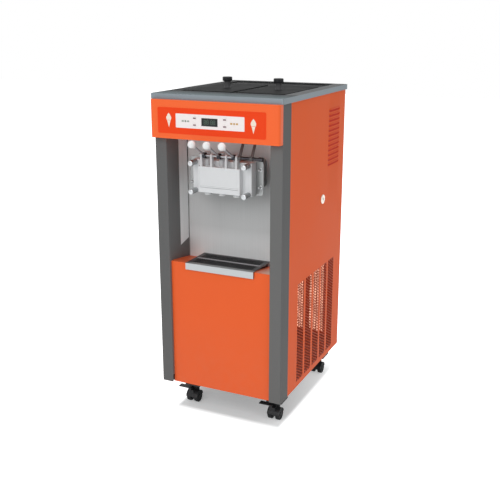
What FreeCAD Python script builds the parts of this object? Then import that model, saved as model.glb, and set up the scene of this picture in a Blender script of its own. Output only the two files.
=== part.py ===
# Floor-standing soft-serve ice cream maker with two freezing cylinders and three draw valves.
# Millimetres, +Z up, +X to the right, -Y to the front. The origin is on the floor, in the middle
# of the overall box, so the castors stand on z = 0.
import FreeCAD, Part
import math
import os

V = FreeCAD.Vector
RIGHT = V(1, 0, 0)
BACK = V(0, 1, 0)
UP = V(0, 0, 1)

# ---- driving dimensions ----
# cabinet
cabinet_width = 540.0
cabinet_depth = 695.0       # corner post fronts to rear panel
cabinet_bottom = 142.0
rim_top = 1350.0
rim_drop = 21.0             # skirt of the top deck
rim_lap = 7.0               # deck beyond the sides and the back
rim_front_lap = 15.0        # deck beyond the posts
sheet = 1.5                 # all folded sheet
past = 1.0                  # how far a cut runs past the face it opens

# welded chassis
angle_size = 30.0
angle_wall = 3.0
chassis_lift = 2.0          # chassis above the lower edge of the panels
cylinder_shelf_top = 965.0
leg_size = 70.0
leg_wall = 4.0

# corner posts
post_width = 49.0
post_side = 77.0
post_return = 92.0
panel_fold = 14.0           # returns of the side panels
front_return = 28.0         # returns of the front panel
front_foot = 18.0

# serving bay
bay_depth = 165.0
bay_top = 1183.0
bay_floor_front = 677.0
bay_floor_back = 658.0
bay_floor_flat = 20.0
bay_floor_apron = 22.0
bay_floor_rests = (60.0, 120.0)   # tray rests from the middle
splash_drop = 12.0          # splash panel below the back of the floor
panel_recess = 12.0         # front panel behind the post fronts

# header and controls
header_reach = 32.0         # header ahead of the posts
header_corner = 10.0
fascia_width = 453.0
fascia_height = 98.0
fascia_offset = -9.5
fascia_height_above_bay = 20.0
fascia_thickness = 1.0
display_width = 68.0
display_height = 30.0
display_offset = -13.0
display_above_bay = 70.0
key_radius = 7.0
key_gap = 0.3
key_proud = 0.8
key_travel = 0.6
key_stem = 3.0              # key behind the header's wall
key_collar = 1.6            # collar beyond the key
key_collar_thickness = 1.4
key_column = 63.0           # key columns either side of the display
key_pitch = 25.5            # key rows
lamp_radius = 4.0
lamp_column = 102.0
lamp_proud = 0.4
lens_clearance = 0.4
board_size = (240.0, 62.0)
board_thickness = 1.6
board_gap = 6.0             # board behind the keys
board_post = 3.0
board_post_inset = (8.0, 6.0)
fascia_corner = 6.0

# side panel openings
grille_front = 173.0
grille_bottom = 165.0
grille_strip = 70.0
grille_bridge = 20.0
grille_strips = 5
slot_height = 11.0
slot_pitch = 20.0
slot_rows = 22
louvre_length = 143.0
louvre_rise = 8.0
louvre_proud = 4.5
louvre_pitch = 20.5
louvre_wall = 1.2
side_louvres = 13
side_louvre_front = 489.0
side_louvre_bottom = 1012.0
rear_grille_edge = 196.0    # right edge of the rear grille from the middle
rear_grille_bottom = 185.0
rear_grille_strips = 4
rear_louvres = 8
rear_louvre_length = 340.0
rear_louvre_bottom = 1012.0
gland_radius = 8.0
gland_bore = 4.5
gland_flange = 13.0
gland_flange_thickness = 4.0
gland_neck = 8.0
gland_inset = 65.0           # gland axis from the cabinet's left side
gland_level = 192.0

# drip tray
tray_width = 300.0
tray_front = 2.0
tray_back = 162.5
tray_rim = 7.0
tray_lip = 3.0
tray_ledge = 7.0
tray_depth = 27.0
basin_clearance = 1.5       # well in the bay floor round the basin
apron_gap = 0.3             # tray apron ahead of the front panel
grate_clearance = 0.5
grate_slot = 6.0
grate_pitch = 8.5
grate_bridge = 12.0
grate_border = 8.0

# dispensing head
head_margin = 55.0           # head block beyond a cylinder's axis
head_front = 38.0
head_back = 78.0
head_bottom = 969.0
head_top = 1098.0
boss_width = 180.0
boss_front = 10.0
boss_bottom = 976.0
boss_top = 1077.0
head_corner = 4.0
mouth_depth = 8.0           # pocket that joins the cylinder mouths to the ports
seal_depth = 2.4
seal_width = 3.0
seal_inset = 1.0            # seal beyond the cylinder's outside
valve_pitch = 63.0
valve_depth = 42.0          # valve axes behind the post fronts
plunger_radius = 12.5
running_gap = 0.06
plunger_bottom = 986.0
plunger_top = 1130.0
port_radius = 6.5
port_level = 995.0
flange_margin = 86.0         # flange beyond a cylinder's axis
flange_bottom = 968.0
flange_top = 1102.0
flange_thickness = 6.0
flange_corner = 12.0
housing_margin = 60.0        # housing beyond a cylinder's axis
housing_bottom = 984.0
housing_top = 1098.0
housing_corner = 14.0
housing_gap = 0.3
lug_radius = 8.0
spout_radius = 13.0
spout_length = 3.0
nozzle_bore = 10.5
nozzle_lip = 1.5            # nozzle beyond the spout
nozzle_foot = 2.5
nozzle_neck = 8.0
star_points = 6
star_reach = (9.0, 5.0)     # points and hollows of the star opening
stud_margin = 42.0           # stud beyond a cylinder's axis
stud_bottom = 976.0
stud_top = 1088.0
stud_radius = 4.0
stud_hold = 10.0            # stud inside the grip
stud_gap = 0.3
grip_radius = 11.0
grip_length = 46.0
grip_flutes = 8
grip_flute_radius = 2.6
grip_collar = 5.0           # plain length at each end of the flutes
grip_bevel = 1.5
field_border = 8.0          # sunk field of the boss
field_depth = 1.5
groove_level = 996.0        # drip groove across the boss
groove_height = 2.5
groove_depth = 3.0

# draw levers
pivot_depth = 18.0
pivot_level = 1120.0
pin_radius = 5.0
hub_radius = 11.0
hub_width = 12.0
lug_width = 8.0
lug_gap = 2.0
ball_reach = 101.5          # ball ahead of the pivot
ball_rise = 55.0
ball_radius = 15.0
lever_rod_radius = 4.0
finger_radius = 5.0
finger_drop = 15.0          # degrees below level at rest
finger_width = 8.0
slot_mouth = 20.0           # plunger's slot at its front
slot_overlap = 0.8
slot_back = 2.5             # slot behind the finger
slot_gap = 0.4              # slot above and below the finger
pin_end = 166.0
pin_knob_radius = 8.0
pin_knob_length = 17.0
pin_head = 4.0
bail_sides = (86.0, 136.0)
bail_lean = 32.0            # degrees back from upright
bail_length = 60.0
bail_strip = (11.0, 3.0)    # width and thickness
bail_eye = 3.0              # eye beyond the pin

# freezing cylinders and drive
cylinder_spacing = 144.0
cylinder_level = 1040.0
cylinder_radius = 50.0
cylinder_wall = 3.0
drive_space = 175.0         # cylinder ends ahead of the rear panel
jacket_width = 280.0
jacket_front = 168.0
jacket_stop = 5.0           # jacket short of the cylinder ends
jacket_top = 1115.0
shaft_radius = 8.0
cylinder_start = 79.0
cylinder_end_wall = 5.0
jacket_corner = 16.0
jacket_gap = 0.2
feed_well = 3.0             # jacket round the feed tubes
beater_clearance = 0.6
beater_front = 84.0
beater_stop = 16.0          # blade short of the cylinder ends
beater_turns = 2.5
beater_steps = 30
beater_blade = 3.0
shaft_nose = 4.0            # shaft ahead of the blade
shaft_hold = 50.0           # shaft inside the gearbox
shaft_room = 8.0            # gearbox bore past the shaft
gearbox_gap = 20.0          # gearboxes behind the cylinders
gearbox_size = 86.0
gearbox_corner = 10.0
gearbox_boss = (26.0, 8.0)  # radius and length
motor_well = 3.0            # shelf round the motors
gearbox_top = 1090.0
motor_radius = 42.0
motor_bottom = 800.0

# hoppers
hopper_margin = 10.0        # hopper inside the recessed field
hopper_length = 350.0
hopper_front = 145.0
hopper_depth = 160.0
hopper_inset = 14.0         # hopper wall from the middle of the cabinet
hopper_lip = 6.0
hopper_wall = 1.2
hopper_corner = 6.0
spud_wall = 2.5             # feed spud round the drain
spud_gap = 1.0              # spud above the jacket
deck_border = 53.0          # raised rim at the sides and back
deck_front_border = 135.0
deck_recess = 4.0
deck_corner = 6.0
basin_gap = 0.6             # deck round the basins
feed_depth = 200.0
feed_radius = 12.0
feed_wall = 1.2
feed_gap = 0.3              # feed tube in the drain
feed_head = 25.0            # tube top below the deck
feed_collar = (3.0, 3.0)    # collar on the basin's floor, beyond the tube and high
feed_port = (6.0, 5.0, 8.0)   # width, height and level above the basin's floor
lid_thickness = 4.0
lid_gap = 0.5
lid_corner = 8.0
lid_skirt = 8.0
lid_skirt_gap = 1.5
lid_skirt_wall = 2.0
knob_radius = 20.0
knob_height = 48.0
knob_neck = 12.0
knob_bevel = 2.0

# refrigeration
condenser_thickness = 36.0
condenser_front = 190.0
condenser_length = 390.0
condenser_height = 430.0
condenser_fins = 26
condenser_side_gap = 14.0   # condenser behind the perforated panel
condenser_frame = 3.0
condenser_fin = 1.2
condenser_fin_inset = 2.0
condenser_pipe = 9.0
condenser_pipes = 4
shroud_depth = 46.0
fan_radius = 150.0
fan_blades = 5
fan_chord = 84.0
fan_pitch = 24.0            # degrees
fan_blade = 2.4
fan_hub = 34.0
fan_width = 22.0
fan_setback = 34.0          # fan behind the condenser
fan_tip_gap = 6.0
fan_pin = 5.0
fan_motor_radius = 38.0
fan_motor_length = 50.0
fan_stay = (24.0, 6.0)      # width and thickness
fan_root = 4.0              # blade inside the hub
fan_tip = 2.0               # blade cut inside the fan's radius
compressor_radius = 88.0
compressor_height = 250.0
compressor_offset = 30.0
compressor_depth = 430.0
compressor_plate = (220.0, 150.0, 4.0)
compressor_foot = 12.0
compressor_dome = (40.0, 30.0)    # rise and taper
compressor_mount = (12.0, 15.0)   # rubber foot radius and inset
terminal_size = (28.0, 60.0, 70.0)
terminal_root = 12.0
terminal_lift = 90.0
control_box_offset = 60.0   # from the right panel
control_box_depth = 60.0
control_box_size = (90.0, 180.0, 230.0)
control_box_corner = 4.0

# cam lock
lock_depth = 439.0
lock_level = 893.0
lock_radius = 11.0
lock_bezel = 9.0            # bezel beyond the plug
lock_face = 4.0
lock_reach = 14.0
lock_cam = (3.0, 16.0, 38.0)      # thickness, width and length
lock_cam_heel = 8.0
lock_slot = (2.4, 11.0, 3.0)      # width, height and depth

# castors
castor_inset = 76.0         # castor centres from the sides
castor_front = 132.0
castor_rear_inset = 57.0
wheel_radius = 25.0
wheel_width = 19.0
wheel_gap = 16.0            # between the two wheels of one castor
castor_trail = 18.0
axle_radius = 4.0
kingpin_radius = 6.0
swivel_level = 78.0
fender_gap = 1.5
fender_wall = 2.5
fork_reach = 12.0           # fork behind the kingpin
fork_top = 58.0
fork_nose = 22.0            # web ahead of the axle
fork_hub = 14.0
web_gap = 2.0               # web inside the wheels
fork_neck = 14.0
neck_root = 10.0
swivel_gap = 0.3
axle_end = 4.0              # axle inside each wheel
tread_bevel = 2.0
raceway_radius = 24.0
raceway_height = 6.0
pedal_reach = 68.0
pedal_width = 24.0
pedal_level = 62.0
pedal_offset = -7.0         # pedal ahead of the axle
pedal_hinge = 12.0          # hinge beside the middle of the castor
pedal_pin = 2.0
pedal_lug = 4.0
pedal_lug_bottom = 40.0
pedal_lug_width = 12.0
pedal_lug_top = 5.0         # lug above the hinge
pedal_gap = 0.3
pedal_plate = (0.5, 3.5)    # plate's lift and thickness

# ---- derived places ----
half_width = cabinet_width / 2
lever_front = ball_reach - pivot_depth + ball_radius
overall_depth = lever_front + cabinet_depth + rim_lap
front = lever_front - overall_depth / 2          # y of the post fronts
rear = front + cabinet_depth
inner_half = half_width - sheet
cylinder_end = cabinet_depth - drive_space
jacket_end = cylinder_end - jacket_stop
gearbox_front = cylinder_end + gearbox_gap
hopper_width = half_width + rim_lap - deck_border - hopper_margin - hopper_inset
castor_across = half_width - castor_inset
castor_rear = cabinet_depth - castor_rear_inset
panel_top = rim_top - deck_recess - sheet        # under side of the deck
bay_half = half_width - post_width
chassis_bottom = cabinet_bottom + chassis_lift
chassis_rear = rear - sheet
pan_top = chassis_bottom + angle_wall + sheet
valve_y = front + valve_depth
pivot_y = front + pivot_depth
cylinder_x = cylinder_spacing / 2
head_width = cylinder_spacing + 2 * head_margin
flange_width = cylinder_spacing + 2 * flange_margin
housing_width = cylinder_spacing + 2 * housing_margin
stud_across = cylinder_x + stud_margin
gland_offset = gland_inset - half_width
fascia_front = front - header_reach - fascia_thickness
key_offsets = [display_offset - key_column, display_offset + key_column]
lamp_offsets = [display_offset - lamp_column, display_offset + lamp_column]
display_level = bay_top + display_above_bay
key_places = [(x, display_level + z) for x in key_offsets for z in (-key_pitch / 2, key_pitch / 2)]
tray_seat = bay_floor_front
lip_level = rim_top - deck_recess
basin_bottom = lip_level - hopper_depth
feed_y = front + feed_depth
pivot = V(0, pivot_y, pivot_level)
finger_length = valve_depth - pivot_depth
finger_tip = pivot + V(0, math.cos(math.radians(finger_drop)),
                       -math.sin(math.radians(finger_drop))) * finger_length
stud_places = [(x, z) for x in (-stud_across, stud_across) for z in (stud_bottom, stud_top)]
valve_names = ["left", "centre", "right"]
valve_offsets = [-valve_pitch, 0.0, valve_pitch]


# ---- helpers ----
def block(x, y, z):
    """A box from three (low, high) ranges."""
    return Part.makeBox(x[1] - x[0], y[1] - y[0], z[1] - z[0], V(x[0], y[0], z[0]))


def wide(half, y, z):
    """A box centred on the middle plane."""
    return block((-half, half), y, z)


def rod(start, direction, radius, length):
    return Part.makeCylinder(radius, length, start, direction)


def tube(start, direction, outer, inner, length):
    return rod(start, direction, outer, length).cut(rod(start, direction, inner, length))


def prism(points, sweep):
    """A polygon, given by its corners, swept along a vector."""
    outline = Part.makePolygon(points + [points[0]])
    return Part.Face(outline).extrude(sweep)


def join(shapes):
    whole = shapes[0].fuse(shapes[1:]) if len(shapes) > 1 else shapes[0]
    return whole.removeSplitter()


def group(shapes):
    return Part.Compound(shapes)


def mirrored(shape):
    return shape.mirror(V(0, 0, 0), RIGHT)


def both_sides(shape):
    return [shape, mirrored(shape)]


def rounded(shape, direction, radius, keep=None):
    """Fillet the straight edges that run along a direction."""
    def runs_along(edge):
        if edge.Curve.TypeId != "Part::GeomLine":
            return False
        run = (edge.Vertexes[1].Point - edge.Vertexes[0].Point).normalize()
        return abs(run.dot(direction)) > 0.999
    edges = [edge for edge in shape.Edges if runs_along(edge) and (keep is None or keep(edge))]
    return shape.makeFillet(radius, edges)


def band(low, height):
    return (low, low + height)


def middle(centre, size):
    return (centre - size / 2, centre + size / 2)


def write(name, shape):
    shape.exportStep("parts/" + name + ".step")


# ---- cabinet ----
def angle_along(direction, corner, length, inward, upward):
    """An L section: one leg runs inward, the other upward, from a corner."""
    flat = prism([corner, corner + inward * angle_size,
                  corner + inward * angle_size + upward * angle_wall,
                  corner + upward * angle_wall], direction * length)
    stand = prism([corner, corner + inward * angle_wall,
                   corner + inward * angle_wall + upward * angle_size,
                   corner + upward * angle_size], direction * length)
    return flat.fuse(stand)


def chassis():
    ring_front = front + panel_recess + sheet
    upright_front = front + post_return + past
    ring_length = chassis_rear - ring_front
    upright_height = panel_top - chassis_bottom
    pieces = []
    right_side = [
        angle_along(BACK, V(inner_half, ring_front, chassis_bottom), ring_length, -RIGHT, UP),
        angle_along(UP, V(inner_half, upright_front, chassis_bottom), upright_height, -RIGHT, BACK),
        angle_along(UP, V(inner_half, chassis_rear, chassis_bottom), upright_height, -RIGHT, -BACK),
        angle_along(BACK, V(inner_half, upright_front, cylinder_shelf_top - sheet),
                    chassis_rear - upright_front, -RIGHT, -UP),
        angle_along(BACK, V(inner_half, upright_front, panel_top),
                    chassis_rear - upright_front, -RIGHT, -UP),
    ]
    for piece in right_side:
        pieces += both_sides(piece)
    left = -inner_half
    width = 2 * inner_half
    pieces += [
        angle_along(RIGHT, V(left, ring_front, chassis_bottom), width, BACK, UP),
        angle_along(RIGHT, V(left, chassis_rear, chassis_bottom), width, -BACK, UP),
        angle_along(RIGHT, V(left, chassis_rear, panel_top), width, -BACK, -UP),
        angle_along(RIGHT, V(left, upright_front, panel_top), width, BACK, -UP),
    ]
    pan = wide(inner_half, (ring_front, chassis_rear), (chassis_bottom + angle_wall, pan_top))
    shelf = wide(inner_half, (front + jacket_front, chassis_rear),
                 (cylinder_shelf_top - sheet, cylinder_shelf_top))
    for x in (-cylinder_x, cylinder_x):
        well = rod(V(x, front + gearbox_front + gearbox_size / 2, cylinder_shelf_top - 2 * sheet),
                   UP, motor_radius + motor_well, 3 * sheet)
        shelf = shelf.cut(well)
    pieces += [pan, shelf]
    for y in (castor_front, castor_rear):
        pieces += both_sides(castor_leg(front + y + castor_trail))
    frame = join(pieces)
    for y in (castor_front, castor_rear):
        for x in (-castor_across, castor_across):
            hole = rod(V(x, front + y + castor_trail, swivel_level - past), UP,
                       kingpin_radius + running_gap, leg_wall + 2 * past)
            frame = frame.cut(hole)
    return frame


def castor_leg(y):
    """A channel under the pan that a castor swivels in."""
    x = middle(castor_across, leg_size)
    outer = block(x, middle(y, leg_size), (swivel_level, chassis_bottom + angle_wall))
    inner = block((x[0] + leg_wall, x[1] - leg_wall), middle(y, leg_size + 2 * past),
                  (swivel_level + leg_wall, chassis_bottom + angle_wall))
    return outer.cut(inner)


def front_posts():
    outer = half_width
    inner = bay_half
    face = block((inner, outer), (front, front + sheet), (cabinet_bottom, panel_top))
    flank = block((outer - sheet, outer), (front, front + post_side), (cabinet_bottom, panel_top))
    jamb = block((inner, inner + sheet), (front, front + post_return),
                 (chassis_bottom + angle_size, panel_top))
    post = join([face, flank, jamb])
    return group(both_sides(post))


def louvre_hood(length):
    """One pressed louvre on the plane x = 0, running along +Y from the origin, open below."""
    edge = V(louvre_proud, 0, 0)
    root = V(-sheet, 0, louvre_rise)
    shell = prism([V(0, 0, louvre_rise), edge, V(-sheet, 0, 0), root], BACK * length)
    hollow = prism([edge - RIGHT * louvre_wall, V(-sheet, 0, 0), root], BACK * (length - 2 * sheet))
    return shell.cut(hollow.translated(BACK * sheet))


def slot_levels(bottom):
    return [bottom + row * slot_pitch for row in range(slot_rows)]


def side_panel():
    panel = block((inner_half, half_width), (front + post_side, rear), (cabinet_bottom, panel_top))
    fold = (inner_half - panel_fold, inner_half)
    front_fold = block(fold, band(front + post_side, sheet), (chassis_bottom + angle_size, panel_top))
    lower_fold = block(fold, (front + post_side, rear - sheet), band(cabinet_bottom, sheet))
    panel = join([panel, front_fold, lower_fold])
    through = (inner_half - past, half_width + past)
    slots = []
    for strip in range(grille_strips):
        start = front + grille_front + strip * (grille_strip + grille_bridge)
        for level in slot_levels(grille_bottom):
            slots.append(block(through, band(start, grille_strip), band(level, slot_height)))
    hoods = []
    for row in range(side_louvres):
        level = side_louvre_bottom + row * louvre_pitch
        slots.append(block(through, band(front + side_louvre_front + sheet, louvre_length - 2 * sheet),
                           band(level, louvre_rise)))
        hood = louvre_hood(louvre_length)
        hoods.append(hood.translated(V(half_width, front + side_louvre_front, level)))
    panel = panel.cut(group(slots))
    return panel.fuse(hoods)


def rear_panel():
    panel = wide(inner_half, (rear - sheet, rear), (cabinet_bottom, panel_top))
    through = (rear - sheet - past, rear + past)
    slots = []
    for strip in range(rear_grille_strips):
        edge = rear_grille_edge - strip * (grille_strip + grille_bridge)
        for level in slot_levels(rear_grille_bottom):
            slots.append(block((edge - grille_strip, edge), through, band(level, slot_height)))
    hoods = []
    for row in range(rear_louvres):
        level = rear_louvre_bottom + row * louvre_pitch
        slots.append(wide(rear_louvre_length / 2 - sheet, through, band(level, louvre_rise)))
        hood = louvre_hood(rear_louvre_length)
        hood.rotate(V(0, 0, 0), UP, 90)
        hoods.append(hood.translated(V(rear_louvre_length / 2, rear, level)))
    panel = panel.cut(group(slots)).fuse(hoods)
    return panel.cut(rod(V(gland_offset, rear - 2 * sheet, gland_level), BACK,
                         gland_radius + running_gap, 4 * sheet))


def cord_gland():
    flange = rod(V(gland_offset, rear, gland_level), BACK, gland_flange, gland_flange_thickness)
    neck = rod(V(gland_offset, rear - gland_neck, gland_level), BACK, gland_radius, gland_neck)
    bore = rod(V(gland_offset, rear - gland_neck - past, gland_level), BACK, gland_bore,
               gland_neck + gland_flange_thickness + 2 * past)
    return join([flange, neck]).cut(bore)


def front_panel():
    face = front + panel_recess
    skin = wide(bay_half, band(face, sheet), (cabinet_bottom, bay_floor_front))
    side = block((bay_half - sheet, bay_half), band(face, front_return),
                 (chassis_bottom + angle_size, bay_floor_front - bay_floor_apron - sheet))
    foot = wide(bay_half, band(face, front_foot), band(cabinet_bottom, sheet))
    return join([skin, foot] + both_sides(side))


def bay_floor():
    y0 = front + panel_recess + sheet
    y1 = y0 + bay_floor_flat
    y2 = front + bay_depth
    top = [V(-bay_half, y0, bay_floor_front), V(-bay_half, y1, bay_floor_front),
           V(-bay_half, y2, bay_floor_back)]
    under = [point - V(0, 0, sheet) for point in reversed(top)]
    floor = prism(top + under, RIGHT * (2 * bay_half))
    apron = wide(bay_half, band(y0, sheet), (bay_floor_front - bay_floor_apron, bay_floor_front))
    well = tray_basin_block(basin_clearance)
    rests = both_sides(block(bay_floor_rests, (well.BoundBox.YMax, y2),
                             (bay_floor_back - sheet, tray_seat)))
    return join([floor, apron] + rests).cut(well)


def splash_panel():
    y0 = front + post_return
    y1 = front + bay_depth
    z = (bay_floor_back - splash_drop, bay_top)
    back = wide(bay_half + sheet, band(y1, sheet), z)
    cheek = block((bay_half, bay_half + sheet), (y0, y1 + sheet), z)
    panel = join([back] + both_sides(cheek))
    return panel.cut(head_housing_envelope(housing_gap))


def header_cover():
    depth = (front - header_reach, front)
    outer = rounded(wide(half_width, depth, (bay_top, rim_top - rim_drop)), UP, header_corner,
                    lambda edge: edge.CenterOfMass.y < front - sheet)
    inner = rounded(wide(inner_half, (depth[0] + sheet, front + past),
                         (bay_top + sheet, rim_top - rim_drop - sheet)), UP, header_corner - sheet,
                    lambda edge: edge.CenterOfMass.y < front - sheet)
    ceiling = wide(bay_half, (front - sheet, front + bay_depth + sheet), band(bay_top, sheet))
    shell = join([outer.cut(inner), ceiling])
    return shell.cut(group(control_openings()))


def control_openings():
    """The holes for the display, the keys and the lamps, through the header and the fascia."""
    start = fascia_front - past
    depth = fascia_thickness + sheet + 2 * past
    holes = [block(middle(display_offset, display_width), band(start, depth),
                   middle(display_level, display_height))]
    for x, z in key_places:
        holes.append(rod(V(x, start, z), BACK, key_radius + key_gap, depth))
    for x in lamp_offsets:
        holes.append(rod(V(x, start, display_level), BACK, lamp_radius, depth))
    return holes


def control_fascia():
    plate = block(middle(fascia_offset, fascia_width), (fascia_front, front - header_reach),
                  band(bay_top + fascia_height_above_bay, fascia_height))
    plate = rounded(plate, BACK, fascia_corner)
    return plate.cut(group(control_openings()))


def display_lenses():
    back = front - header_reach + sheet
    lens = block(middle(display_offset, display_width - lens_clearance), (fascia_front, back),
                 middle(display_level, display_height - lens_clearance))
    lamps = []
    for x in lamp_offsets:
        lamps.append(rod(V(x, fascia_front - lamp_proud, display_level), BACK,
                         lamp_radius - lens_clearance / 2, back - fascia_front + lamp_proud))
    return group([lens] + lamps)


def control_key(x, z):
    y0 = fascia_front - key_proud
    wall_back = front - header_reach + sheet
    cap = rod(V(x, y0, z), BACK, key_radius, wall_back + key_stem - y0)
    collar = rod(V(x, wall_back + key_gap, z), BACK, key_radius + key_collar, key_collar_thickness)
    return join([cap, collar])


def control_board():
    wall_back = front - header_reach + sheet
    key_back = wall_back + key_stem
    board_front = key_back + board_gap
    post_length = board_front - wall_back
    board = block(middle(display_offset, board_size[0]), band(board_front, board_thickness),
                  middle(display_level, board_size[1]))
    module = block(middle(display_offset, display_width - 2 * board_post), (wall_back, board_front),
                   middle(display_level, display_height - 2 * board_post))
    pieces = [board, module]
    for x, z in key_places:
        start = key_back + key_travel + running_gap
        pieces.append(rod(V(x, start, z), BACK, board_post, board_front - start))
    for x in lamp_offsets:
        pieces.append(rod(V(x, wall_back, display_level), BACK, board_post, post_length))
    post_x = board_size[0] / 2 - board_post_inset[0]
    post_z = board_size[1] / 2 - board_post_inset[1]
    for x in (display_offset - post_x, display_offset + post_x):
        for z in (display_level - post_z, display_level + post_z):
            pieces.append(rod(V(x, wall_back, z), BACK, board_post, post_length))
    return join(pieces)


def top_deck():
    y = (front - rim_front_lap, rear + rim_lap)
    half = half_width + rim_lap
    field = (y[0] + deck_front_border, y[1] - deck_border)
    field_half = half - deck_border
    rim_bottom = rim_top - rim_drop
    inside = (y[0] + sheet, y[1] - sheet)
    outer = wide(half, y, (rim_bottom, rim_top))
    recess = wide(field_half, field, (rim_top - deck_recess, rim_top + past))
    hollow = wide(half - sheet, inside, (rim_bottom - past, panel_top))
    rim_hollow = wide(half - sheet, inside, (panel_top, rim_top - sheet))
    field_block = wide(field_half + sheet, (field[0] - sheet, field[1] + sheet), (panel_top, rim_top))
    deck = rounded(outer, UP, deck_corner).cut(recess).cut(hollow).cut(rim_hollow.cut(field_block))
    for basin in both_sides(hopper_block(basin_gap)):
        deck = deck.cut(basin)
    return deck


# ---- hoppers ----
def basin_ranges(inset):
    """The right basin's walls in x and y, moved inward by an inset."""
    y = front + hopper_front
    return ((hopper_inset + inset, hopper_inset + hopper_width - inset),
            (y + inset, y + hopper_length - inset))


def hopper_block(clearance):
    """The outside of the right basin, grown by a clearance."""
    x, y = basin_ranges(-clearance)
    basin = block(x, y, (basin_bottom, rim_top + past))
    return rounded(basin, UP, hopper_corner)


def hopper():
    x, y = basin_ranges(hopper_wall)
    inside = block(x, y, (basin_bottom + hopper_wall, rim_top + past))
    inside = rounded(inside, UP, hopper_corner - hopper_wall)
    lip_x, lip_y = basin_ranges(-hopper_lip)
    lip = block(lip_x, lip_y, band(lip_level, hopper_wall))
    basin = hopper_block(0).common(block((0, half_width), lip_y, (0, lip_level)))
    spud_end = jacket_top + spud_gap
    drain_radius = feed_radius + feed_gap
    spud = rod(V(cylinder_x, feed_y, spud_end), UP, drain_radius + spud_wall,
               basin_bottom + hopper_wall / 2 - spud_end)
    drain = rod(V(cylinder_x, feed_y, spud_end - past), UP, drain_radius,
                basin_bottom + hopper_wall - spud_end + 2 * past)
    return join([basin, lip, spud]).cut(inside).cut(drain)


def feed_tube():
    start = cylinder_level + cylinder_radius + running_gap
    top = lip_level - feed_head
    floor = basin_bottom + hopper_wall
    bore = feed_radius - feed_wall
    pipe = rod(V(cylinder_x, feed_y, start), UP, feed_radius, top - start)
    collar = rod(V(cylinder_x, feed_y, floor), UP, feed_radius + feed_collar[0], feed_collar[1])
    port = block(middle(cylinder_x, 4 * feed_radius), middle(feed_y, feed_port[0]),
                 band(floor + feed_port[2], feed_port[1]))
    return join([pipe, collar]).cut(rod(V(cylinder_x, feed_y, 0), UP, bore, rim_top)).cut(port)


def hoppers():
    return group(both_sides(hopper()) + both_sides(feed_tube()))


def hopper_lid():
    seat = lip_level + hopper_wall
    x, y = basin_ranges(lid_gap - hopper_lip)
    plate = rounded(block(x, y, band(seat, lid_thickness)), UP, lid_corner)
    inset = hopper_wall + lid_skirt_gap
    x, y = basin_ranges(inset)
    skirt = rounded(block(x, y, (seat - lid_skirt, seat)), UP, hopper_corner - inset)
    inset += lid_skirt_wall
    x, y = basin_ranges(inset)
    hollow = rounded(block(x, y, (seat - lid_skirt - past, seat)), UP, hopper_corner - inset)
    centre = V(hopper_inset + hopper_width / 2, front + hopper_front + hopper_length / 2,
               seat + lid_thickness)
    neck = rod(centre, UP, knob_radius / 2, knob_neck)
    head = rod(centre + UP * knob_neck, UP, knob_radius, knob_height - knob_neck)
    rims = [edge for edge in head.Edges if edge.Curve.TypeId == "Part::GeomCircle"]
    return join([plate, skirt.cut(hollow), neck, head.makeChamfer(knob_bevel, rims)])


# ---- drip tray ----
def tray_basin_block(clearance):
    """The outside of the basin under the tray's rim, grown by a clearance."""
    y = (front + panel_recess + sheet + tray_rim, front + tray_back - tray_rim / 2)
    return wide(tray_width / 2 - tray_rim + clearance, (y[0] - clearance, y[1] + clearance),
                (tray_seat - tray_depth - clearance, tray_seat + tray_lip))


def drip_tray():
    half = tray_width / 2
    top = tray_seat + tray_lip
    apron_back = front + panel_recess - apron_gap
    apron = wide(half, (front + tray_front, apron_back), (top - tray_depth, top))
    apron_hollow = wide(half - sheet, (front + tray_front + sheet, apron_back + past),
                        (top - tray_depth - past, top - tray_lip))
    rim = wide(half, (apron_back, front + tray_back), (tray_seat, top))
    basin = tray_basin_block(0.0)
    bounds = basin.BoundBox
    inside = wide(bounds.XMax - sheet - tray_ledge, (bounds.YMin + tray_ledge, bounds.YMax - tray_ledge),
                  (tray_seat - tray_depth + sheet, top + past))
    tray = join([apron.cut(apron_hollow), rim, basin])
    return tray.cut(grate_block(grate_clearance)).cut(inside)


def grate_block(clearance):
    bounds = tray_basin_block(clearance - sheet).BoundBox
    return wide(bounds.XMax, (bounds.YMin, bounds.YMax), (tray_seat, tray_seat + tray_lip))


def tray_grate():
    plate = grate_block(0.0)
    bounds = plate.BoundBox
    slot_length = (bounds.YLength - 2 * grate_border - grate_bridge) / 2
    count = int((bounds.XLength - 2 * grate_border) / grate_pitch)
    slots = []
    for row_start in (bounds.YMin + grate_border, bounds.YMax - grate_border - slot_length):
        for index in range(count):
            x = (index - (count - 1) / 2) * grate_pitch
            slots.append(block(middle(x, grate_slot), band(row_start, slot_length),
                               (tray_seat - past, tray_seat + tray_lip + past)))
    return plate.cut(group(slots))


# ---- dispensing head ----
def head_housing_envelope(clearance):
    shape = wide(housing_width / 2 + clearance,
                 (front + head_back + flange_thickness / 2, front + jacket_front),
                 (housing_bottom - clearance, housing_top + clearance))
    return rounded(shape, BACK, housing_corner)


def head_flange():
    """The stainless housing that carries the cylinder mouths through the splash panel."""
    y0 = front + head_back
    plate = wide(flange_width / 2, band(y0, flange_thickness), (flange_bottom, flange_top))
    plate = rounded(plate, BACK, flange_corner)
    core = wide(housing_width / 2 - sheet, (y0 + flange_thickness, front + jacket_front + past),
                (housing_bottom + sheet, housing_top - sheet))
    body = join([plate, head_housing_envelope(0.0)]).cut(rounded(core, BACK, housing_corner - sheet))
    for x in (-cylinder_x, cylinder_x):
        body = body.cut(rod(V(x, y0 - past, cylinder_level), BACK, cylinder_radius + running_gap,
                            flange_thickness + 2 * past))
    return body


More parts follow.
